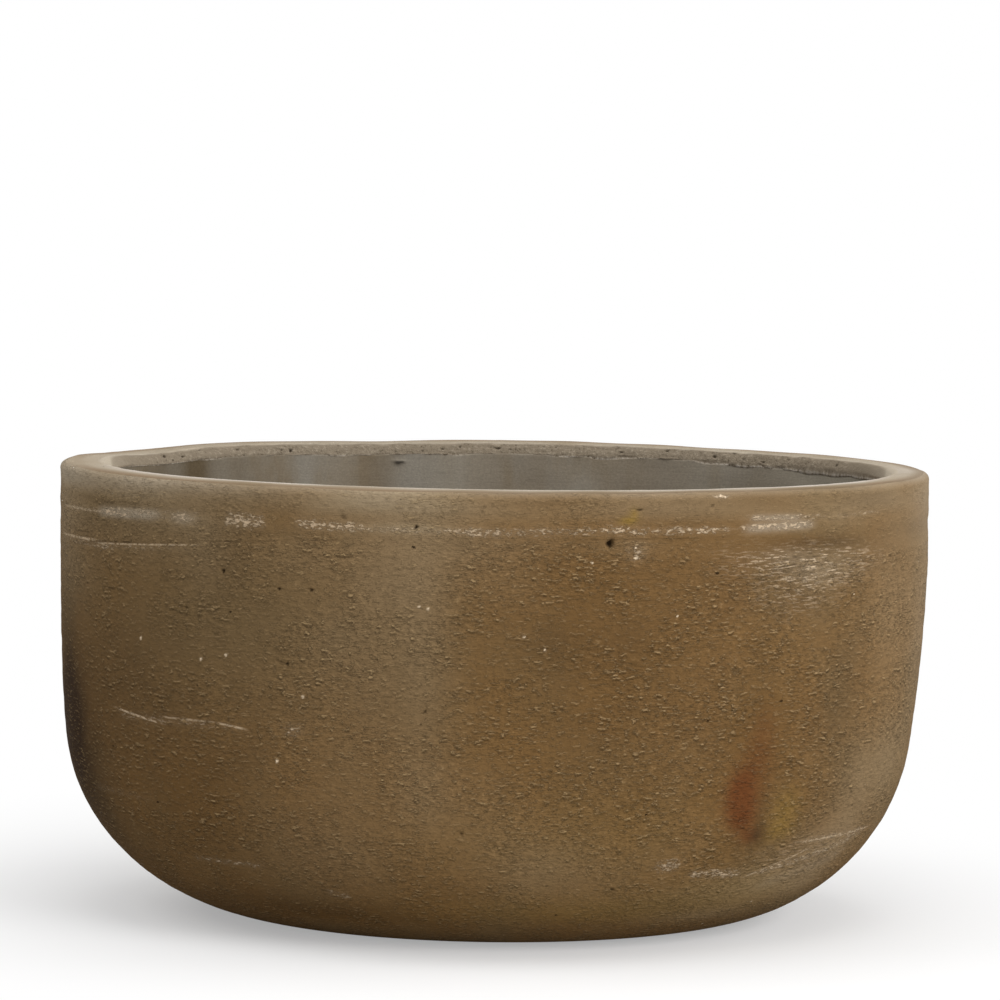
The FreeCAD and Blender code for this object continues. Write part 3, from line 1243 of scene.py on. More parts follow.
    # Paler patches, partly the clay's own tone and partly painted light: rim light at both ends, light from
    # below along the heel and light on the top of the wall
    lights: tuple[Patch, ...] = (
        Patch((150, 484), 80 * MM, 6 * MM, 0.45),
        Patch((66, 496), 36 * MM, 16 * MM, 0.44),
        Patch((66, 550), 24 * MM, 30 * MM, 0.24),
        Patch((130, 546), 60 * MM, 12 * MM, 0.16),
        Patch((205, 540), 16 * MM, 25 * MM, 0.22),
        Patch((300, 554), 28 * MM, 14 * MM, 0.14),
        Patch((390, 500), 60 * MM, 7 * MM, 0.34),
        Patch((400, 560), 30 * MM, 34 * MM, 0.28),
        Patch((466, 545), 24 * MM, 20 * MM, 0.18),
        Patch((345, 660), 40 * MM, 60 * MM, 0.12),
        Patch((425, 690), 16 * MM, 60 * MM, 0.16),
        Patch((370, 820), 75 * MM, 45 * MM, 0.14),
        Patch((560, 872), 50 * MM, 26 * MM, 0.28),
        Patch((750, 888), 50 * MM, 16 * MM, 0.60),
        Patch((825, 848), 40 * MM, 20 * MM, 0.42),
        Patch((885, 766), 30 * MM, 30 * MM, 0.32),
        Patch((920, 590), 50 * MM, 90 * MM, 0.36),
        Patch((885, 590), 22 * MM, 60 * MM, 0.08),
        Patch((75, 540), 30 * MM, 50 * MM, 0.15),
        Patch((155, 515), 40 * MM, 8 * MM, 0.30),
        Patch((405, 528), 24 * MM, 4 * MM, 0.45),
        Patch((372, 640), 14 * MM, 60 * MM, 0.08),
        Patch((515, 580), 18 * MM, 22 * MM, 0.10),
        Patch((835, 571), 22 * MM, 9 * MM, 0.34),
        Patch((850, 800), 20 * MM, 34 * MM, 0.28),
        Patch((802, 882), 24 * MM, 12 * MM, 0.34),
        Patch((700, 915), 40 * MM, 8 * MM, 0.34),
        Patch((330, 860), 50 * MM, 26 * MM, 0.16),
        Patch((484, 815), 30 * MM, 24 * MM, 0.13),
        Patch((545, 528), 12 * MM, 4 * MM, 0.10),
        Patch((690, 845), 24 * MM, 16 * MM, 0.10),
        Patch((845, 517), 20 * MM, 7 * MM, 0.22),
        Patch((632, 545), 16 * MM, 8 * MM, 0.14),
        Patch((420, 800), 16 * MM, 20 * MM, 0.12),
        Patch((765, 882), 16 * MM, 8 * MM, 0.12),
        Patch((80, 508), 18 * MM, 10 * MM, 0.10),
        Patch((80, 570), 18 * MM, 14 * MM, 0.12),
        Patch((335, 640), 12 * MM, 14 * MM, 0.10),
        Patch((560, 545), 50 * MM, 5 * MM, 0.08),
        Patch((190, 520), 22 * MM, 7 * MM, 0.12),
        Patch((815, 571), 16 * MM, 7 * MM, 0.10),
        Patch((420, 600), 15 * MM, 60 * MM, 0.11),
        Patch((377, 499), 16 * MM, 5 * MM, 0.12),
        Patch((887, 606), 20 * MM, 30 * MM, 0.10),
        Patch((525, 862), 32 * MM, 22 * MM, 0.11),
    )
    # Darker patches, partly the clay's own tone and partly painted shade: thin lines of shade under the
    # scuffed ridge and under the lip, and shade along the bottom of the heel
    dark_and_shaded: tuple[Patch, ...] = (
        Patch((70, 690), 34 * MM, 50 * MM, 0.50),
        Patch((76, 745), 46 * MM, 50 * MM, 0.50),
        Patch((140, 720), 40 * MM, 50 * MM, 0.12),
        Patch((605, 680), 44 * MM, 60 * MM, 0.20),
        Patch((760, 740), 16 * MM, 70 * MM, 0.20),
        Patch((845, 690), 24 * MM, 60 * MM, 0.15),
        Patch((805, 543), 32 * MM, 4 * MM, 0.33),
        Patch((400, 514), 50 * MM, 4 * MM, 0.10),
        Patch((690, 520), 30 * MM, 8 * MM, 0.15),
        Patch((115, 835), 45 * MM, 40 * MM, 0.28),
        Patch((180, 780), 45 * MM, 60 * MM, 0.13),
        Patch((225, 560), 14 * MM, 20 * MM, 0.10),
        Patch((300, 907), 70 * MM, 12 * MM, 0.32),
        Patch((590, 640), 34 * MM, 14 * MM, 0.12),
        Patch((250, 762), 14 * MM, 14 * MM, 0.15),
        Patch((758, 838), 10 * MM, 9 * MM, 0.30),
        Patch((868, 497), 26 * MM, 7 * MM, 0.22),
        Patch((632, 515), 30 * MM, 5 * MM, 0.10),
        Patch((547, 640), 10 * MM, 12 * MM, 0.10),
        Patch((717, 760), 8 * MM, 14 * MM, 0.10),
        Patch((115, 680), 34 * MM, 30 * MM, 0.15),
        Patch((887, 500), 18 * MM, 6 * MM, 0.16),
        Patch((760, 500), 18 * MM, 6 * MM, 0.13),
        Patch((845, 543), 22 * MM, 4 * MM, 0.20),
        Patch((377, 916), 34 * MM, 8 * MM, 0.15),
        Patch((82, 528), 20 * MM, 8 * MM, 0.14),
        Patch((118, 503), 50 * MM, 1.8 * MM, 0.22),
        Patch((207, 762), 18 * MM, 18 * MM, 0.16),
        Patch((168, 718), 14 * MM, 14 * MM, 0.12),
        Patch((628, 640), 14 * MM, 14 * MM, 0.16),
        Patch((802, 602), 16 * MM, 8 * MM, 0.14),
        Patch((915, 528), 30 * MM, 6 * MM, 0.16),
    )
    warms: tuple[Patch, ...] = (
        Patch((550, 655), 80 * MM, 80 * MM, 0.45),
        Patch((530, 518), 120 * MM, 10 * MM, 0.6),
        Patch((690, 530), 60 * MM, 14 * MM, 0.4),
        Patch((760, 745), 20 * MM, 50 * MM, 0.7),
        Patch((200, 800), 30 * MM, 30 * MM, 0.3),
        Patch((430, 850), 150 * MM, 60 * MM, 0.75),
        Patch((660, 840), 60 * MM, 30 * MM, 0.2),
        Patch((330, 915), 60 * MM, 12 * MM, 0.8),
        Patch((800, 543), 30 * MM, 4 * MM, 0.6),
    )
    olives: tuple[Patch, ...] = (
        Patch((230, 620), 110 * MM, 60 * MM, 0.8),
        Patch((110, 500), 80 * MM, 20 * MM, 0.7),
        Patch((430, 700), 30 * MM, 60 * MM, 0.5),
        Patch((790, 900), 60 * MM, 16 * MM, 0.8),
        Patch((650, 905), 60 * MM, 16 * MM, 0.6),
    )
    flashes: tuple[Patch, ...] = (
        Patch((739, 782), 9 * MM, 9 * MM, 0.5),
        Patch((738, 802), 11 * MM, 10 * MM, 0.75),
        Patch((741, 821), 11 * MM, 9 * MM, 0.7),
        Patch((750, 837), 9 * MM, 6 * MM, 0.6),
        Patch((754, 782), 15 * MM, 20 * MM, 0.35),
        Patch((760, 748), 13 * MM, 18 * MM, 0.3),
        Patch((767, 720), 9 * MM, 14 * MM, 0.2),
    )
    ochres: tuple[Patch, ...] = (
        Patch((786, 808), 10 * MM, 11 * MM, 0.45),
        Patch((780, 830), 11 * MM, 7 * MM, 0.45),
        Patch((628, 521), 4 * MM, 2 * MM, 1.0),
        Patch((634, 514), 2.5 * MM, 3 * MM, 0.8),
        Patch((600, 912), 110 * MM, 14 * MM, 0.25),
        Patch((740, 888), 50 * MM, 18 * MM, 0.25),
        Patch((570, 850), 90 * MM, 30 * MM, 0.12),
    )
    soots: tuple[Patch, ...] = (
        Patch((757, 834), 4 * MM, 5 * MM, 0.6),
        Patch((762, 812), 3 * MM, 8 * MM, 0.25),
    )
    cuts: tuple[Streak, ...] = (
        Streak((98, 541), (190, 543), 0.55 * MM, 1.0),
        Streak((190, 541), (348, 540), 0.45 * MM, 0.35),
        Streak((577, 540), (730, 537), 0.45 * MM, 0.4),
        Streak((106, 587), (160, 594), 0.45 * MM, 1.0),
        Streak((274, 659), (294, 667), 0.60 * MM, 0.8),
    )
    lines: tuple[Streak, ...] = (
        Streak((117, 708), (160, 723), 0.75 * MM, 1.0),
        Streak((164, 717), (212, 722), 0.70 * MM, 0.6),
        Streak((218, 723), (244, 729), 0.80 * MM, 0.8),
        Streak((98, 543), (192, 545), 0.60 * MM, 0.7),
        Streak((64, 533), (96, 540), 0.90 * MM, 0.8),
        Streak((66, 505), (126, 514), 0.90 * MM, 0.6),
        Streak((800, 842), (866, 827), 0.80 * MM, 0.8),
        Streak((746, 876), (806, 850), 0.80 * MM, 0.6),
        Streak((655, 530), (732, 529), 0.70 * MM, 0.3),
    )
    pits: tuple[Pit, ...] = (
        Pit((610, 544), 1.6 * MM, 2.2 * MM, 3.0 * MM),
        Pit((343, 517), 1.8 * MM, 1.3 * MM, 0.5 * MM),
        Pit((416, 527), 0.9 * MM, 1.2 * MM, 1.4 * MM),
        Pit((223, 571), 0.8 * MM, 1.4 * MM, 1.4 * MM),
        Pit((279, 589), 0.8 * MM, 0.9 * MM, 1.2 * MM),
        Pit((311, 590), 1.4 * MM, 0.8 * MM, 1.0 * MM),
        Pit((186, 607), 0.9 * MM, 0.7 * MM, 0.8 * MM),
        Pit((640, 510), 1.6 * MM, 0.6 * MM, 1.0 * MM),
        Pit((287, 664), 1.0 * MM, 1.0 * MM, 1.0 * MM),
        Pit((425, 712), 1.0 * MM, 0.9 * MM, 1.0 * MM),
        Pit((461, 834), 1.1 * MM, 0.9 * MM, 1.0 * MM),
        Pit((612, 890), 1.1 * MM, 0.9 * MM, 1.0 * MM),
    )
    lip_pits: tuple[Pixel, ...] = (
        (165, 455.5), (183, 456.5), (199, 449.5), (238, 449.5), (282, 449.5), (291, 450), (443, 448.5),
        (453, 446), (460, 446.5), (498, 448), (510, 449.5), (556, 447), (621, 452), (667, 451), (714, 456),
        (734, 453), (743, 458), (763, 462), (788, 459.5), (836, 465),
    )
    lip_pit: Triple = (1.3 * MM, 0.8 * MM, 1.1 * MM)
    grains: tuple[Pixel, ...] = (
        (303, 697), (226, 655), (141, 638), (419, 607), (428, 609), (592, 563), (545, 650), (636, 548),
        (636, 558), (524, 637), (720, 496), (725, 497), (277, 761), (201, 659),
    )
    grain: Triple = (0.9 * MM, 0.9 * MM, -0.4 * MM)

    def section(self) -> Section:
        """The wall's section, from the drain hole round by the outside and back down the inside.

        Returns:
            The rows, in order.
        """
        s, made = self.shape, Section()
        outer, ring, inner = s.oval(), s.oval(s.foot_ring), s.oval(s.wall)
        recess = s.foot + s.recess_depth
        ring_edge = s.foot_half - s.foot_ring
        made.line((s.drain_radius, s.floor), (s.drain_radius, recess), (1, 1), Zone.INSIDE, 3)
        made.line((s.drain_radius, recess), (ring_edge, recess), (1, ring), Zone.UNDERSIDE, 9)
        made.line((ring_edge, recess), (ring_edge, s.foot), (ring, ring), Zone.UNDERSIDE, 2)
        made.line((ring_edge, s.foot), (s.foot_half, s.foot), (ring, outer), Zone.UNDERSIDE, 5)
        centre = s.heel_centre()
        first = math.atan2(s.foot - centre[1], s.foot_half - centre[0])
        joint = s.joint_angle(centre)
        fine = s.bow_angle(s.top - self.fine_drop)
        made.arc(centre, s.heel_radius, (first, joint), outer, Zone.HEEL, 50)
        made.arc(s.bow, s.bow_radius, (joint, fine), outer, Zone.WALL, 26)
        made.arc(s.bow, s.bow_radius, (fine, 0), outer, Zone.WALL, 50)
        brow = s.half_length - s.lip_outer_radius
        made.arc((brow, s.widest), s.lip_outer_radius, (0, math.pi / 2), outer, Zone.LIP_EDGE, 7)
        brink = s.half_length - s.wall + s.lip_inner_radius
        made.line((brow, s.top), (brink, s.top), (outer, inner), Zone.LIP, 16)
        low = s.top - s.lip_inner_radius
        made.arc((brink, low), s.lip_inner_radius, (math.pi / 2, math.pi), inner, Zone.BAND, 12)
        face = s.half_length - s.wall
        made.line((face, low), (face, low), (inner, inner), Zone.APRON, 5)
        centre = s.inner_heel_centre()
        joint = s.joint_angle(centre)
        start = s.bow_angle(low - self.inside_drop, s.wall)
        made.arc(s.bow, s.bow_radius - s.wall, (start, joint), inner, Zone.INSIDE, 7)
        made.arc(centre, s.inner_heel_radius, (joint, -math.pi / 2), inner, Zone.INSIDE, 8)
        made.line((centre[0], s.floor), (s.drain_radius, s.floor), (inner, 1), Zone.INSIDE, 6)
        return made

    def turning(self, drop: np.ndarray, ring: np.ndarray) -> np.ndarray:
        """How far the turning lines move the wall outwards.

        Args:
            drop: Lengths below the lip.
            ring: Lengths along the ring.

        Returns:
            Lengths outwards.
        """
        s = self.shape
        groove = np.clip(1 - ((drop - s.groove_drop) / s.groove_half_width) ** 2, 0, 1)
        fade = np.clip(0.5 + self.score_fade.along(ring, s.girth()), 0.1, 1)
        scored = fade * sum(score.at(drop) for score in self.scores)
        return sum(swell.at(drop) for swell in self.swells) - groove * s.groove_depth + scored

    def grid(self) -> tuple[np.ndarray, np.ndarray, np.ndarray, np.ndarray]:
        """The whole wall as a grid.

        Returns:
            Points, ring lengths, run lengths and zones, each by rows and columns.
        """
        s = self.shape
        radius, height, oval, zone, share = self.section().columns()
        angles, ring, girth = s.ring_angles()[None], s.ring()[None], s.girth()
        in_band, in_apron = zone == Zone.BAND, zone == Zone.APRON
        reach = np.where(in_band, share**2, np.where(in_apron & (share < 0.7), 1, 0)) * self.apron
        fall = (s.edge_height()[None] - height) * np.clip(share / 0.6, 0, 1)
        height = s.sagged(height + np.where(in_apron, fall, 0))
        points = s.turned(radius - reach, height, oval)
        inner = np.where(zone == Zone.LIP, share, zone > Zone.LIP)
        points[..., 0] += s.mouth(height) * inner
        run = run_lengths(points)
        first_lip = int(np.argmax(zone.ravel() == Zone.LIP_EDGE))
        run = run[first_lip] - run + 0 * ring
        ring = ring + 0 * run
        zone = zone + np.zeros_like(ring, int)

        outside = np.isin(zone, OUTSIDE)
        level = (height - s.foot) / (s.top - s.foot)
        lean = -self.lean * np.sin(math.pi * level) - self.lean_twice * np.sin(math.tau * level)
        points[..., 0] += lean * outside
        fade = smooth_step(s.foot, s.foot + self.foot_fade, height) * outside
        move = sum(wave.at(ring, run, girth) for wave in self.waves) + self.turning(s.top - height, ring)
        on_lip = np.isin(zone, (Zone.LIP, Zone.LIP_EDGE)) * self.lip_wave.at(ring, run, girth)
        crumbs = sum(wave.at(ring, run, girth) for wave in self.crumb_waves)
        crumbs = crumbs * (0.3 + 0.7 * smooth_step(0.1, 0.8, np.sin(angles)))
        rough = in_band * np.sin(math.pi * np.clip(share * 1.1, 0, 1)) + in_apron * (share < 0.5)
        points += grid_normals(points) * (move * fade + on_lip + rough * crumbs)[..., None]
        return points, ring, run, zone

    def weights(self, wall: WallMap, zone: np.ndarray) -> dict[str, np.ndarray]:
        """The weights that the clay's finish reads.

        Args:
            wall: Finds places on the wall.
            zone: The zone of each point.

        Returns:
            Numbers for each point, by name.
        """
        outside = np.isin(zone, OUTSIDE)
        front = {
            "scuff": self.scuffs,
            "haze_and_rim_light": self.hazes_and_rim_lights,
            "scratch": self.scratches,
            "olive": self.olives,
            "light": self.lights,
            "dark": self.dark_and_shaded,
            "warm": self.warms,
            "flash": self.flashes,
            "ochre": self.ochres,
            "soot": self.soots,
        }
        made = {name: np.clip(sum(map(wall.weight, marks)), 0, 1) * outside for name, marks in front.items()}
        made["scuff"] = np.maximum(made["scuff"], self.far_scuffs(wall) * outside)
        around = wall.ring / self.shape.girth()
        far = smooth_step(0.22, 0.3, np.abs(around - 0.5)) * outside
        for name, size, tone in self.far_tones:
            made[name] += far * size * np.clip(tone.at(wall.ring, wall.run, self.shape.girth()), 0, 2)
        # The pale wear under the lip, with its painted light from above, goes on the light weight
        made["light"] = np.clip(made["light"] + self.worn_and_top_lit(wall) * outside, 0, 1)
        darkening = self.far_dark.at(around) * self.far_dark_run.at(wall.run)
        made["dark"] = np.clip(made["dark"] + darkening * outside, 0, 0.9)
        made["coarse"] = self.coarseness(wall) * outside + 0.7 * (zone == Zone.UNDERSIDE)
        for kind, marks in (("cut", self.cuts), ("line", self.lines)):
            for number, mark in enumerate(marks):
                off, weight = wall.thin(mark)
                made[f"{kind}_{number}"] = off
                made[f"{kind}_{number}_weight"] = weight * outside
        made.update(self.lip_weights(wall, zone, self.section().columns()[4]))
        made["pit"], made["grain"] = np.zeros_like(wall.run), np.zeros_like(wall.run)
        return {"lay": self.lay(wall, zone), **made}

    def lay(self, wall: WallMap, zone: np.ndarray) -> np.ndarray:
        """Places for the noises: the ring laid out as a circle and the run, but true places underneath.

        Args:
            wall: Finds places on the wall.
            zone: The zone of each point.

        Returns:
            A vector for each point.
        """
        radius = self.shape.girth() / math.tau
        turn = wall.ring / radius
        wound = np.stack([np.cos(turn) * radius, np.sin(turn) * radius, wall.run], -1)
        return np.where((zone == Zone.UNDERSIDE)[..., None], wall.points, wound)

    def worn_and_top_lit(self, wall: WallMap) -> np.ndarray:
        """How pale the wall is, most under the lip: partly wear, partly painted light from above.

        Args:
            wall: Finds places on the wall.

        Returns:
            A weight for each point.
        """
        patchy = np.clip(0.6 + self.wear.at(wall.ring, wall.run, self.shape.girth()), 0.5, 1)
        fall = 0.47 * smooth_step(4 * MM, 15 * MM, wall.run) + 0.08 * smooth_step(15 * MM, 40 * MM, wall.run)
        return patchy * (0.55 - fall)

    def coarseness(self, wall: WallMap) -> np.ndarray:
        """How coarse the wall is: calm under the lip, most so at the right, and calmer low on the darkened
        left end.

        Args:
            wall: Finds places on the wall.

        Returns:
            A weight for each point.
        """
        around = wall.ring / self.shape.girth()
        left, right = 1 - smooth_step(0.27, 0.42, around), smooth_step(0.54, 0.6, around)
        calm = 0.6 + 0.3 * left - 0.2 * right
        start, span = (14 + 17 * right) * MM, (16 - 11 * right) * MM
        below = smooth_step(0, 1, (wall.run - start) / span)
        darkened = hump(around, 0.255, 0.045) * smooth_step(60 * MM, 110 * MM, wall.run)
        return (calm + (1 + 0.15 * right - calm) * below) * (1 - 0.7 * darkened)

    def lip_weights(self, wall: WallMap, zone: np.ndarray, share: np.ndarray) -> dict[str, np.ndarray]:
        """The weights of the sanded lip with painted rim light at both ends, of the painted highlight on its
        inner brink and right end, and of the crumbly clay below it.

        Args:
            wall: Finds places on the wall.
            zone: The zone of each point.
            share: How far along its zone each row lies.

        Returns:
            Numbers for each point, by name.
        """
        on_edge, on_lip, on_band, on_apron, on_wall = (
            zone == z for z in (Zone.LIP_EDGE, Zone.LIP, Zone.BAND, Zone.APRON, Zone.WALL)
        )
        around = wall.ring / self.shape.girth()
        aside = np.minimum(around, 1 - around)
        back = 1 - smooth_step(0.225, 0.258, aside)
        soft = 1 - 0.4 * smooth_step(0.2, 0.255, aside)
        calm = 1 - 0.75 * smooth_step(0.14, 0.24, aside)
        front = smooth_step(0.27, 0.34, around) * smooth_step(0.27, 0.33, 1 - around)
        # Painted rim light on the lip and the top of the wall at both ends
        end_highlight = 0.75 * hump(around, 0.265, 0.055) + 0.42 * hump(around, 0.754, 0.016)
        below = on_band * smooth_step(0, 0.3, share - 0.7 + 0.65 * back) + on_apron
        edge = np.maximum((0.4 - 0.15 * front) * smooth_step(0, 1, share), end_highlight)
        sanded_and_lit = on_edge * edge + on_wall * end_highlight * (1 - smooth_step(0, 11 * MM, wall.run))
        far_lip = np.maximum(0.4 + 0.45 * smooth_step(0, 0.6, share), end_highlight)
        near_lip = 0.25 + 0.65 * smooth_step(0.1, 1, share)
        sanded_and_lit = sanded_and_lit + on_lip * (far_lip + (near_lip - far_lip) * front)
        # The brink and the tip are painted highlights on the lip's inner edge and at its right end
        flank = smooth_step(0.05, 0.12, np.abs(around - 0.5))
        brink = on_lip * smooth_step(0.75 - 0.2 * flank, 1, share)
        brink = brink + on_band * (1 - smooth_step(0.2, 0.5, share))
        tip_highlight = 0.5 * hump(around, 0.75, 0.03) * (on_lip + on_edge)
        return {
            "lip": sanded_and_lit + on_band,
            "brink": np.maximum(brink * (0.05 + (0.4 + 0.5 * flank) * front), tip_highlight),
            "band": below * soft,
            "crumb": below * calm + on_lip * back * calm * smooth_step(0.2, 0.7, share) * 0.8,
            "rag": on_apron * smooth_step(0.1, 0.5, share),
        }

    def far_scuffs(self, wall: WallMap) -> np.ndarray:
        """Pale scuffs, of the same kinds and sizes, on the sides that the photograph doesn't show.

        Args:
            wall: Finds places on the wall.

        Returns:
            A weight for each point.
        """
        dice = np.random.default_rng(self.seed)
        girth = self.shape.girth()
        total = np.zeros_like(wall.run)
        for _ in range(self.far_scuff_count):
            ring = dice.uniform(-0.26, 0.26) * girth % girth
            run = dice.choice((20 * MM, 20 * MM, 37 * MM, dice.uniform(60 * MM, 300 * MM)))
            off = (wall.ring - ring + girth / 2) % girth - girth / 2
            along, down = dice.uniform(5 * MM, 26 * MM), dice.uniform(1.2 * MM, 3.2 * MM)
            total += dice.uniform(0.25, 0.8) * hump(off, 0, along) * hump(wall.run + 0.06 * off, run, down)
        return np.clip(total, 0, 1.2)

    def build(self) -> bpy.types.Object:
        """Makes the mesh with its weights and pits, and dresses it.

        Returns:
            The clay's object.
        """
        points, ring, run, zone = self.grid()
        tree = grid_tree(points)
        wall = WallMap(self.view, ring, run, points, tree)
        piece = grid_mesh("fired_clay_body", points, self.weights(wall, zone))
        pits = list(self.pits)
        dice = np.random.default_rng(self.seed)
        pits += [Pit(at, *(self.lip_pit * dice.uniform(0.5, 1.3, 3))) for at in self.lip_pits]
        pits += [Pit(at, *(dice.uniform(0.55, 1.1) * np.array(self.grain))) for at in self.grains]
        sink_pits(piece, [(*self.view.strike(tree, pit.at), pit) for pit in pits])
        piece.data.materials.append(ClayFinish(cuts=len(self.cuts), lines=len(self.lines)).make())
        return piece


@dataclass
class SealCoat:
    """The grey coat inside: a thin skin on the wall and floor, under the ragged edge of the lip."""

    shape: PotShape
    view: PhotoView
    edge_band: float = 4 * MM
    tuck: float = 0.4 * MM
    damp_height: float = 60 * MM
    stripe_fade: float = 110 * MM
    drain_fade: Pair = (24 * MM, 34 * MM)
    waves: tuple[Ripple, ...] = (
        Ripple(0.05, 0.03, 41, 0.12 * MM),
        Ripple(0.05, 0.005, 42, 0.05 * MM),
    )
    tide: Ripple = Ripple(0.12, 1, 43, 8 * MM)
    pits: tuple[Pit, ...] = (Pit((399, 462), 3.0 * MM, 1.3 * MM, 1.2 * MM),)
    umbers: tuple[Stripe, ...] = (
        Stripe((198, 462), 13 * MM, 0.75),
        Stripe((160, 468), 16 * MM, 0.30),
        Stripe((240, 466), 12 * MM, 0.20),
        Stripe((380, 474), 13 * MM, 0.25),
        Stripe((755, 474), 20 * MM, 0.15),
    )
    chalks: tuple[Stripe, ...] = (
        Stripe((340, 472), 12 * MM, 0.15),
        Stripe((460, 476), 22 * MM, 0.30),
        Stripe((600, 476), 30 * MM, 0.18),
        Stripe((700, 476), 24 * MM, 0.25),
        Stripe((815, 478), 40 * MM, 0.40),
    )

    @property
    def brow(self) -> float:
        """The height at which the rows under the ragged edge start."""
        return self.shape.top - self.shape.lip_inner_radius - self.edge_band

    def section(self) -> Section:
        """The skin's section, from the drain hole over the floor, up the wall and back down behind.

        Returns:
            The rows, in order.
        """
        s, made = self.shape, Section()
        centre = s.inner_heel_centre()
        joint, brow = s.joint_angle(centre), s.bow_angle(self.brow, s.wall)
        face, back = s.oval(s.wall + s.coat), s.oval(s.wall)
        reach, skin = s.bow_radius - s.wall, s.floor + s.coat
        made.line((s.drain_radius, skin), (centre[0], skin), (1, face), Zone.INSIDE, 26)
        made.arc(centre, s.inner_heel_radius - s.coat, (-math.pi / 2, joint), face, Zone.INSIDE, 40)
        made.arc(s.bow, reach - s.coat, (joint, brow), face, Zone.WALL, 50)
        behind = (s.half_length - s.wall, self.brow)
        before = (behind[0] - s.coat, self.brow)
        made.line(before, before, (face, face), Zone.APRON, 6)
        made.line(behind, behind, (back, back), Zone.BAND, 2)
        made.arc(s.bow, reach, (brow, joint), back, Zone.UNDERSIDE, 6)
        made.arc(centre, s.inner_heel_radius, (joint, -math.pi / 2), back, Zone.UNDERSIDE, 8)
        made.line((centre[0], s.floor), (s.drain_radius, s.floor), (back, 1), Zone.UNDERSIDE, 5)
        return made

    def grid(self) -> tuple[np.ndarray, np.ndarray, np.ndarray, np.ndarray]:
        """The skin as a grid.

        Returns:
            Points, ring lengths, run lengths and heights, each by rows and columns.
        """
        s, girth = self.shape, self.shape.girth()
        radius, height, oval, zone, share = self.section().columns()
        rise = np.where(zone == Zone.APRON, share * 1.2, np.where(zone == Zone.BAND, 1 - share, 0))
        lift = s.edge_height()[None] + self.tuck - self.brow
        height = s.sagged(height + lift * np.clip(rise, 0, 1))
        points = s.turned(radius, height, oval)
        points[..., 0] += s.mouth(height)
        run = run_lengths(points) + 0 * height
        ring = s.ring()[None] + 0 * run
        shown = np.isin(zone, (Zone.INSIDE, Zone.WALL, Zone.APRON)) * smooth_step(*self.drain_fade, run)
        move = sum(wave.at(ring, run, girth) for wave in self.waves)
        points += grid_normals(points) * (move * shown)[..., None]
        return points, ring, run, height

    def striped(
        self, stripes: Sequence[Stripe], tree: BVHTree, points: np.ndarray, ring: np.ndarray
    ) -> np.ndarray:
        """The weight of upright marks all over the coat.

        Args:
            stripes: The marks.
            tree: The coat's faces.
            points: Rows by columns of points.
            ring: Lengths along the ring of the points.

        Returns:
            A weight for each point.
        """
        girth = self.shape.girth()
        total = np.zeros_like(ring)
        for stripe in stripes:
            off = points - np.array(self.view.strike(tree, stripe.at)[0])
            middle = ring.flat[int(np.argmin((off**2).sum(-1)))]
            total += stripe.strength * hump((ring - middle + girth / 2) % girth, girth / 2, stripe.along)
        return total

    def build(self) -> bpy.types.Object:
        """Makes the mesh with its weights and pits, and dresses it.

        Returns:
            The coat's object.
        """
        s, girth = self.shape, self.shape.girth()
        points, ring, run, height = self.grid()
        tree = grid_tree(points)
        left = np.sin(ring * math.tau / girth)
        upper = smooth_step(s.floor, s.floor + self.stripe_fade, height)
        umber_and_shade = self.striped(self.umbers, tree, points, ring) * upper
        chalk_and_light = self.striped(self.chalks, tree, points, ring) * upper
        rise = height - s.floor + self.tide.along(ring, girth)
        weights = {
            "lay": np.stack([points[..., 0], points[..., 1], run], -1),
            "stain": 1 - smooth_step(0, self.damp_height, rise),
            "pit": np.zeros_like(run),
            "grain": np.zeros_like(run),
            # Painted shade on the left of the inside and painted light on its right, over the brushed stripes
            "umber_and_shade": np.clip(0.45 * smooth_step(0.5, 0.95, left) + umber_and_shade, 0, 1),
            "chalk_and_light": np.clip(0.5 * smooth_step(0.5, 0.95, -left) + chalk_and_light, 0, 1),
        }
        piece = grid_mesh("inner_coat", points, weights)
        sink_pits(piece, [(*self.view.strike(tree, pit.at), pit) for pit in self.pits])
        piece.data.materials.append(CoatFinish().make())
        return piece


@dataclass
class Rubber:
    """A rubber piece that keeps its solid and gets a better finish."""

    node: str
    finish: RubberFinish

    def dress(self) -> bpy.types.Object:
        """Puts the finish on the solid.

        Returns:
            The solid's object.
        """
        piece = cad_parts[self.node]
        piece.data.materials.clear()
        piece.data.materials.append(self.finish.make())
        return piece


@dataclass(frozen=True)
class Lamp:
    """A soft square lamp that looks at the pot."""

    name: str
    place: Triple
    size: float
    power: float
    aim: Triple = (0.0, 0.0, 0.13)

    def make(self) -> None:
        """Adds the lamp."""
        light = bpy.data.lights.new(self.name, "AREA")
        light.size, light.energy = self.size, self.power
        made = bpy.data.objects.new(self.name, light)
        made.location = self.place
        look = Vector(self.aim) - Vector(self.place)
        made.rotation_euler = look.to_track_quat("-Z", "Y").to_euler()
        bpy.context.scene.collection.objects.link(made)


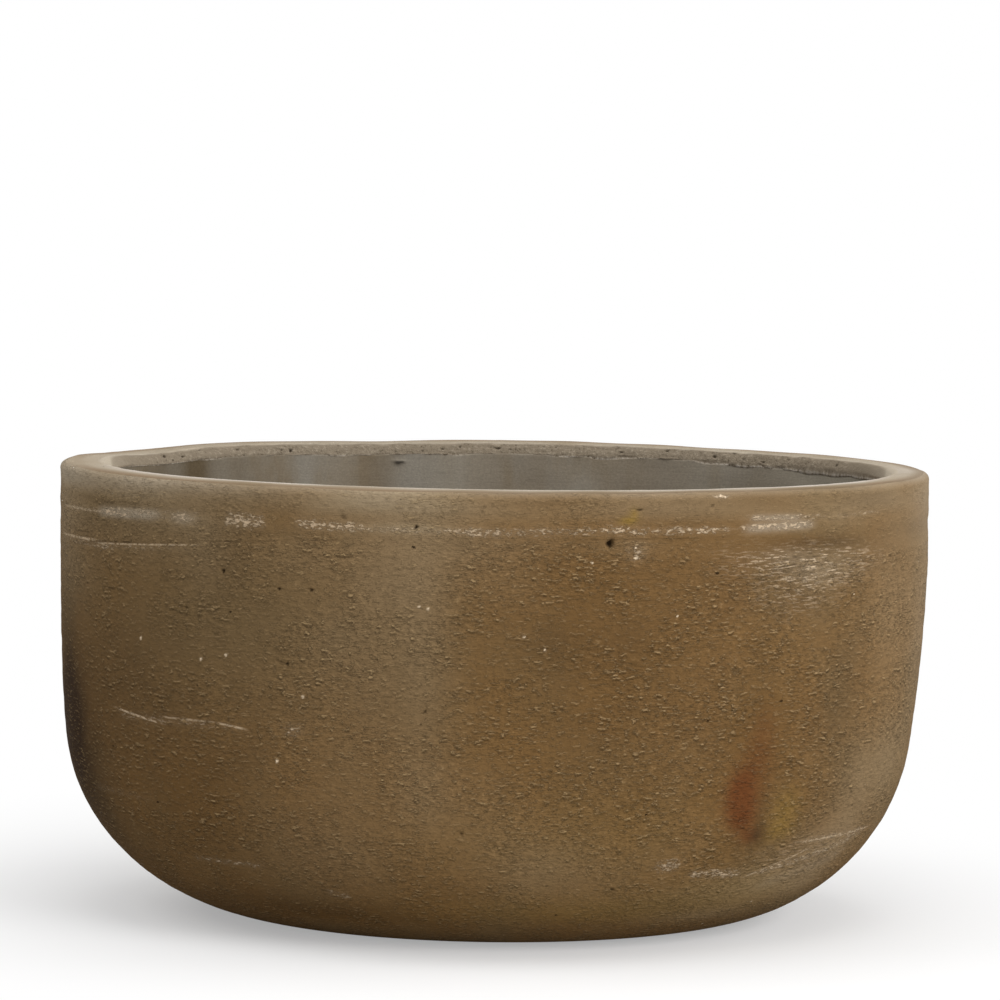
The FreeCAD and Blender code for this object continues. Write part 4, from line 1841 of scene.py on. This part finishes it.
@dataclass
class Studio:
    """A pale floor, a white surround and soft lamps."""

    floor_radius: float = 6.0
    ground: Colour = (0.50, 0.49, 0.47)
    bright: Colour = (0.96, 0.96, 0.96)
    shadow_reach: Pair = (0.2, 0.52)
    lift: float = 0.35
    sky: float = 0.42
    lamps: tuple[Lamp, ...] = (
        Lamp("key_right", (2.1, -2.0, 1.3), 1.6, 52.0),
        Lamp("side_right", (2.5, 0.3, 1.3), 1.4, 16.0),
        Lamp("front_low", (0.8, -3.0, 0.4), 1.4, 18.0),
        Lamp("side_left", (-2.0, -0.4, 2.2), 1.6, 18.0),
        Lamp("top", (0.2, -0.3, 2.6), 2.2, 22.0),
    )

    def make_floor(self) -> None:
        """A round floor that fades from a pale ground with the pot's shadow into the white surround."""
        work = bmesh.new()
        bmesh.ops.create_circle(work, cap_ends=True, segments=96, radius=self.floor_radius)
        mesh = bpy.data.meshes.new("floor")
        work.to_mesh(mesh)
        work.free()
        floor = bpy.data.objects.new("floor", mesh)
        bpy.context.scene.collection.objects.link(floor)

        made, bench = new_material("floor")
        place = bench.node("ShaderNodeTexCoord", {}, {}).outputs["Object"]
        length = bench.node("ShaderNodeVectorMath", {"operation": "LENGTH"}, {0: place})
        far = Value(bench, length.outputs["Value"])
        seen = bench.seen()
        ground = bench.blend(self.ground, self.bright, seen)
        shade = bench.node("ShaderNodeBsdfDiffuse", {}, {"Color": ground})
        white = bench.node("ShaderNodeEmission", {}, {"Color": (1, 1, 1, 1), "Strength": 1.0})
        lift = (far.ease(*self.shadow_reach) * (1 - self.lift) + self.lift) * seen
        sockets = {"Fac": lift, 1: shade.outputs[0], 2: white.outputs[0]}
        mixed = bench.node("ShaderNodeMixShader", {}, sockets)
        bench.node("ShaderNodeOutputMaterial", {}, {"Surface": mixed.outputs[0]})
        mesh.materials.append(made)

    def make_sky(self) -> None:
        """A surround that shows white and lights the pot softly."""
        world = bpy.data.worlds.new("surround")
        world.use_nodes = True
        bpy.context.scene.world = world
        bench = Bench(world.node_tree)
        strength = bench.seen() * (1 - self.sky) + self.sky
        shade = bench.node("ShaderNodeBackground", {}, {"Color": (1, 1, 1, 1), "Strength": strength})
        bench.node("ShaderNodeOutputWorld", {}, {"Surface": shade.outputs[0]})

    def make(self) -> None:
        """Adds the floor, the surround and the lamps."""
        self.make_floor()
        self.make_sky()
        for lamp in self.lamps:
            lamp.make()
        bpy.context.scene.view_settings.view_transform = "Standard"


def main() -> None:
    """Builds the pieces in order and reports each."""
    logging.basicConfig(level=logging.INFO, format="%(name)s: %(message)s")
    view = PhotoView()
    view.make_camera()
    shape = PotShape(*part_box("clay_body"))
    makers: tuple[tuple[str, str, Callable[[], bpy.types.Object]], ...] = (
        ("clay_body", "fired_clay", ClayBody(shape, view).build),
        ("inner_seal_coat", "seal_coat", SealCoat(shape, view).build),
    )
    for node, slot, build in makers:
        piece = build()
        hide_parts(node)
        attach(piece, "pot")
        LOG.info("%s: %d faces", piece.name, len(piece.data.polygons))
    rubbers = (
        Rubber("drain_plug", RubberFinish("plug_rubber", (0.030, 0.029, 0.028))),
        Rubber("foot_pads", RubberFinish("pad_rubber", (0.045, 0.043, 0.040))),
    )
    for rubber in rubbers:
        LOG.info("%s: dressed", rubber.dress().name)
    Studio().make()


if __name__ == "__main__":
    main()
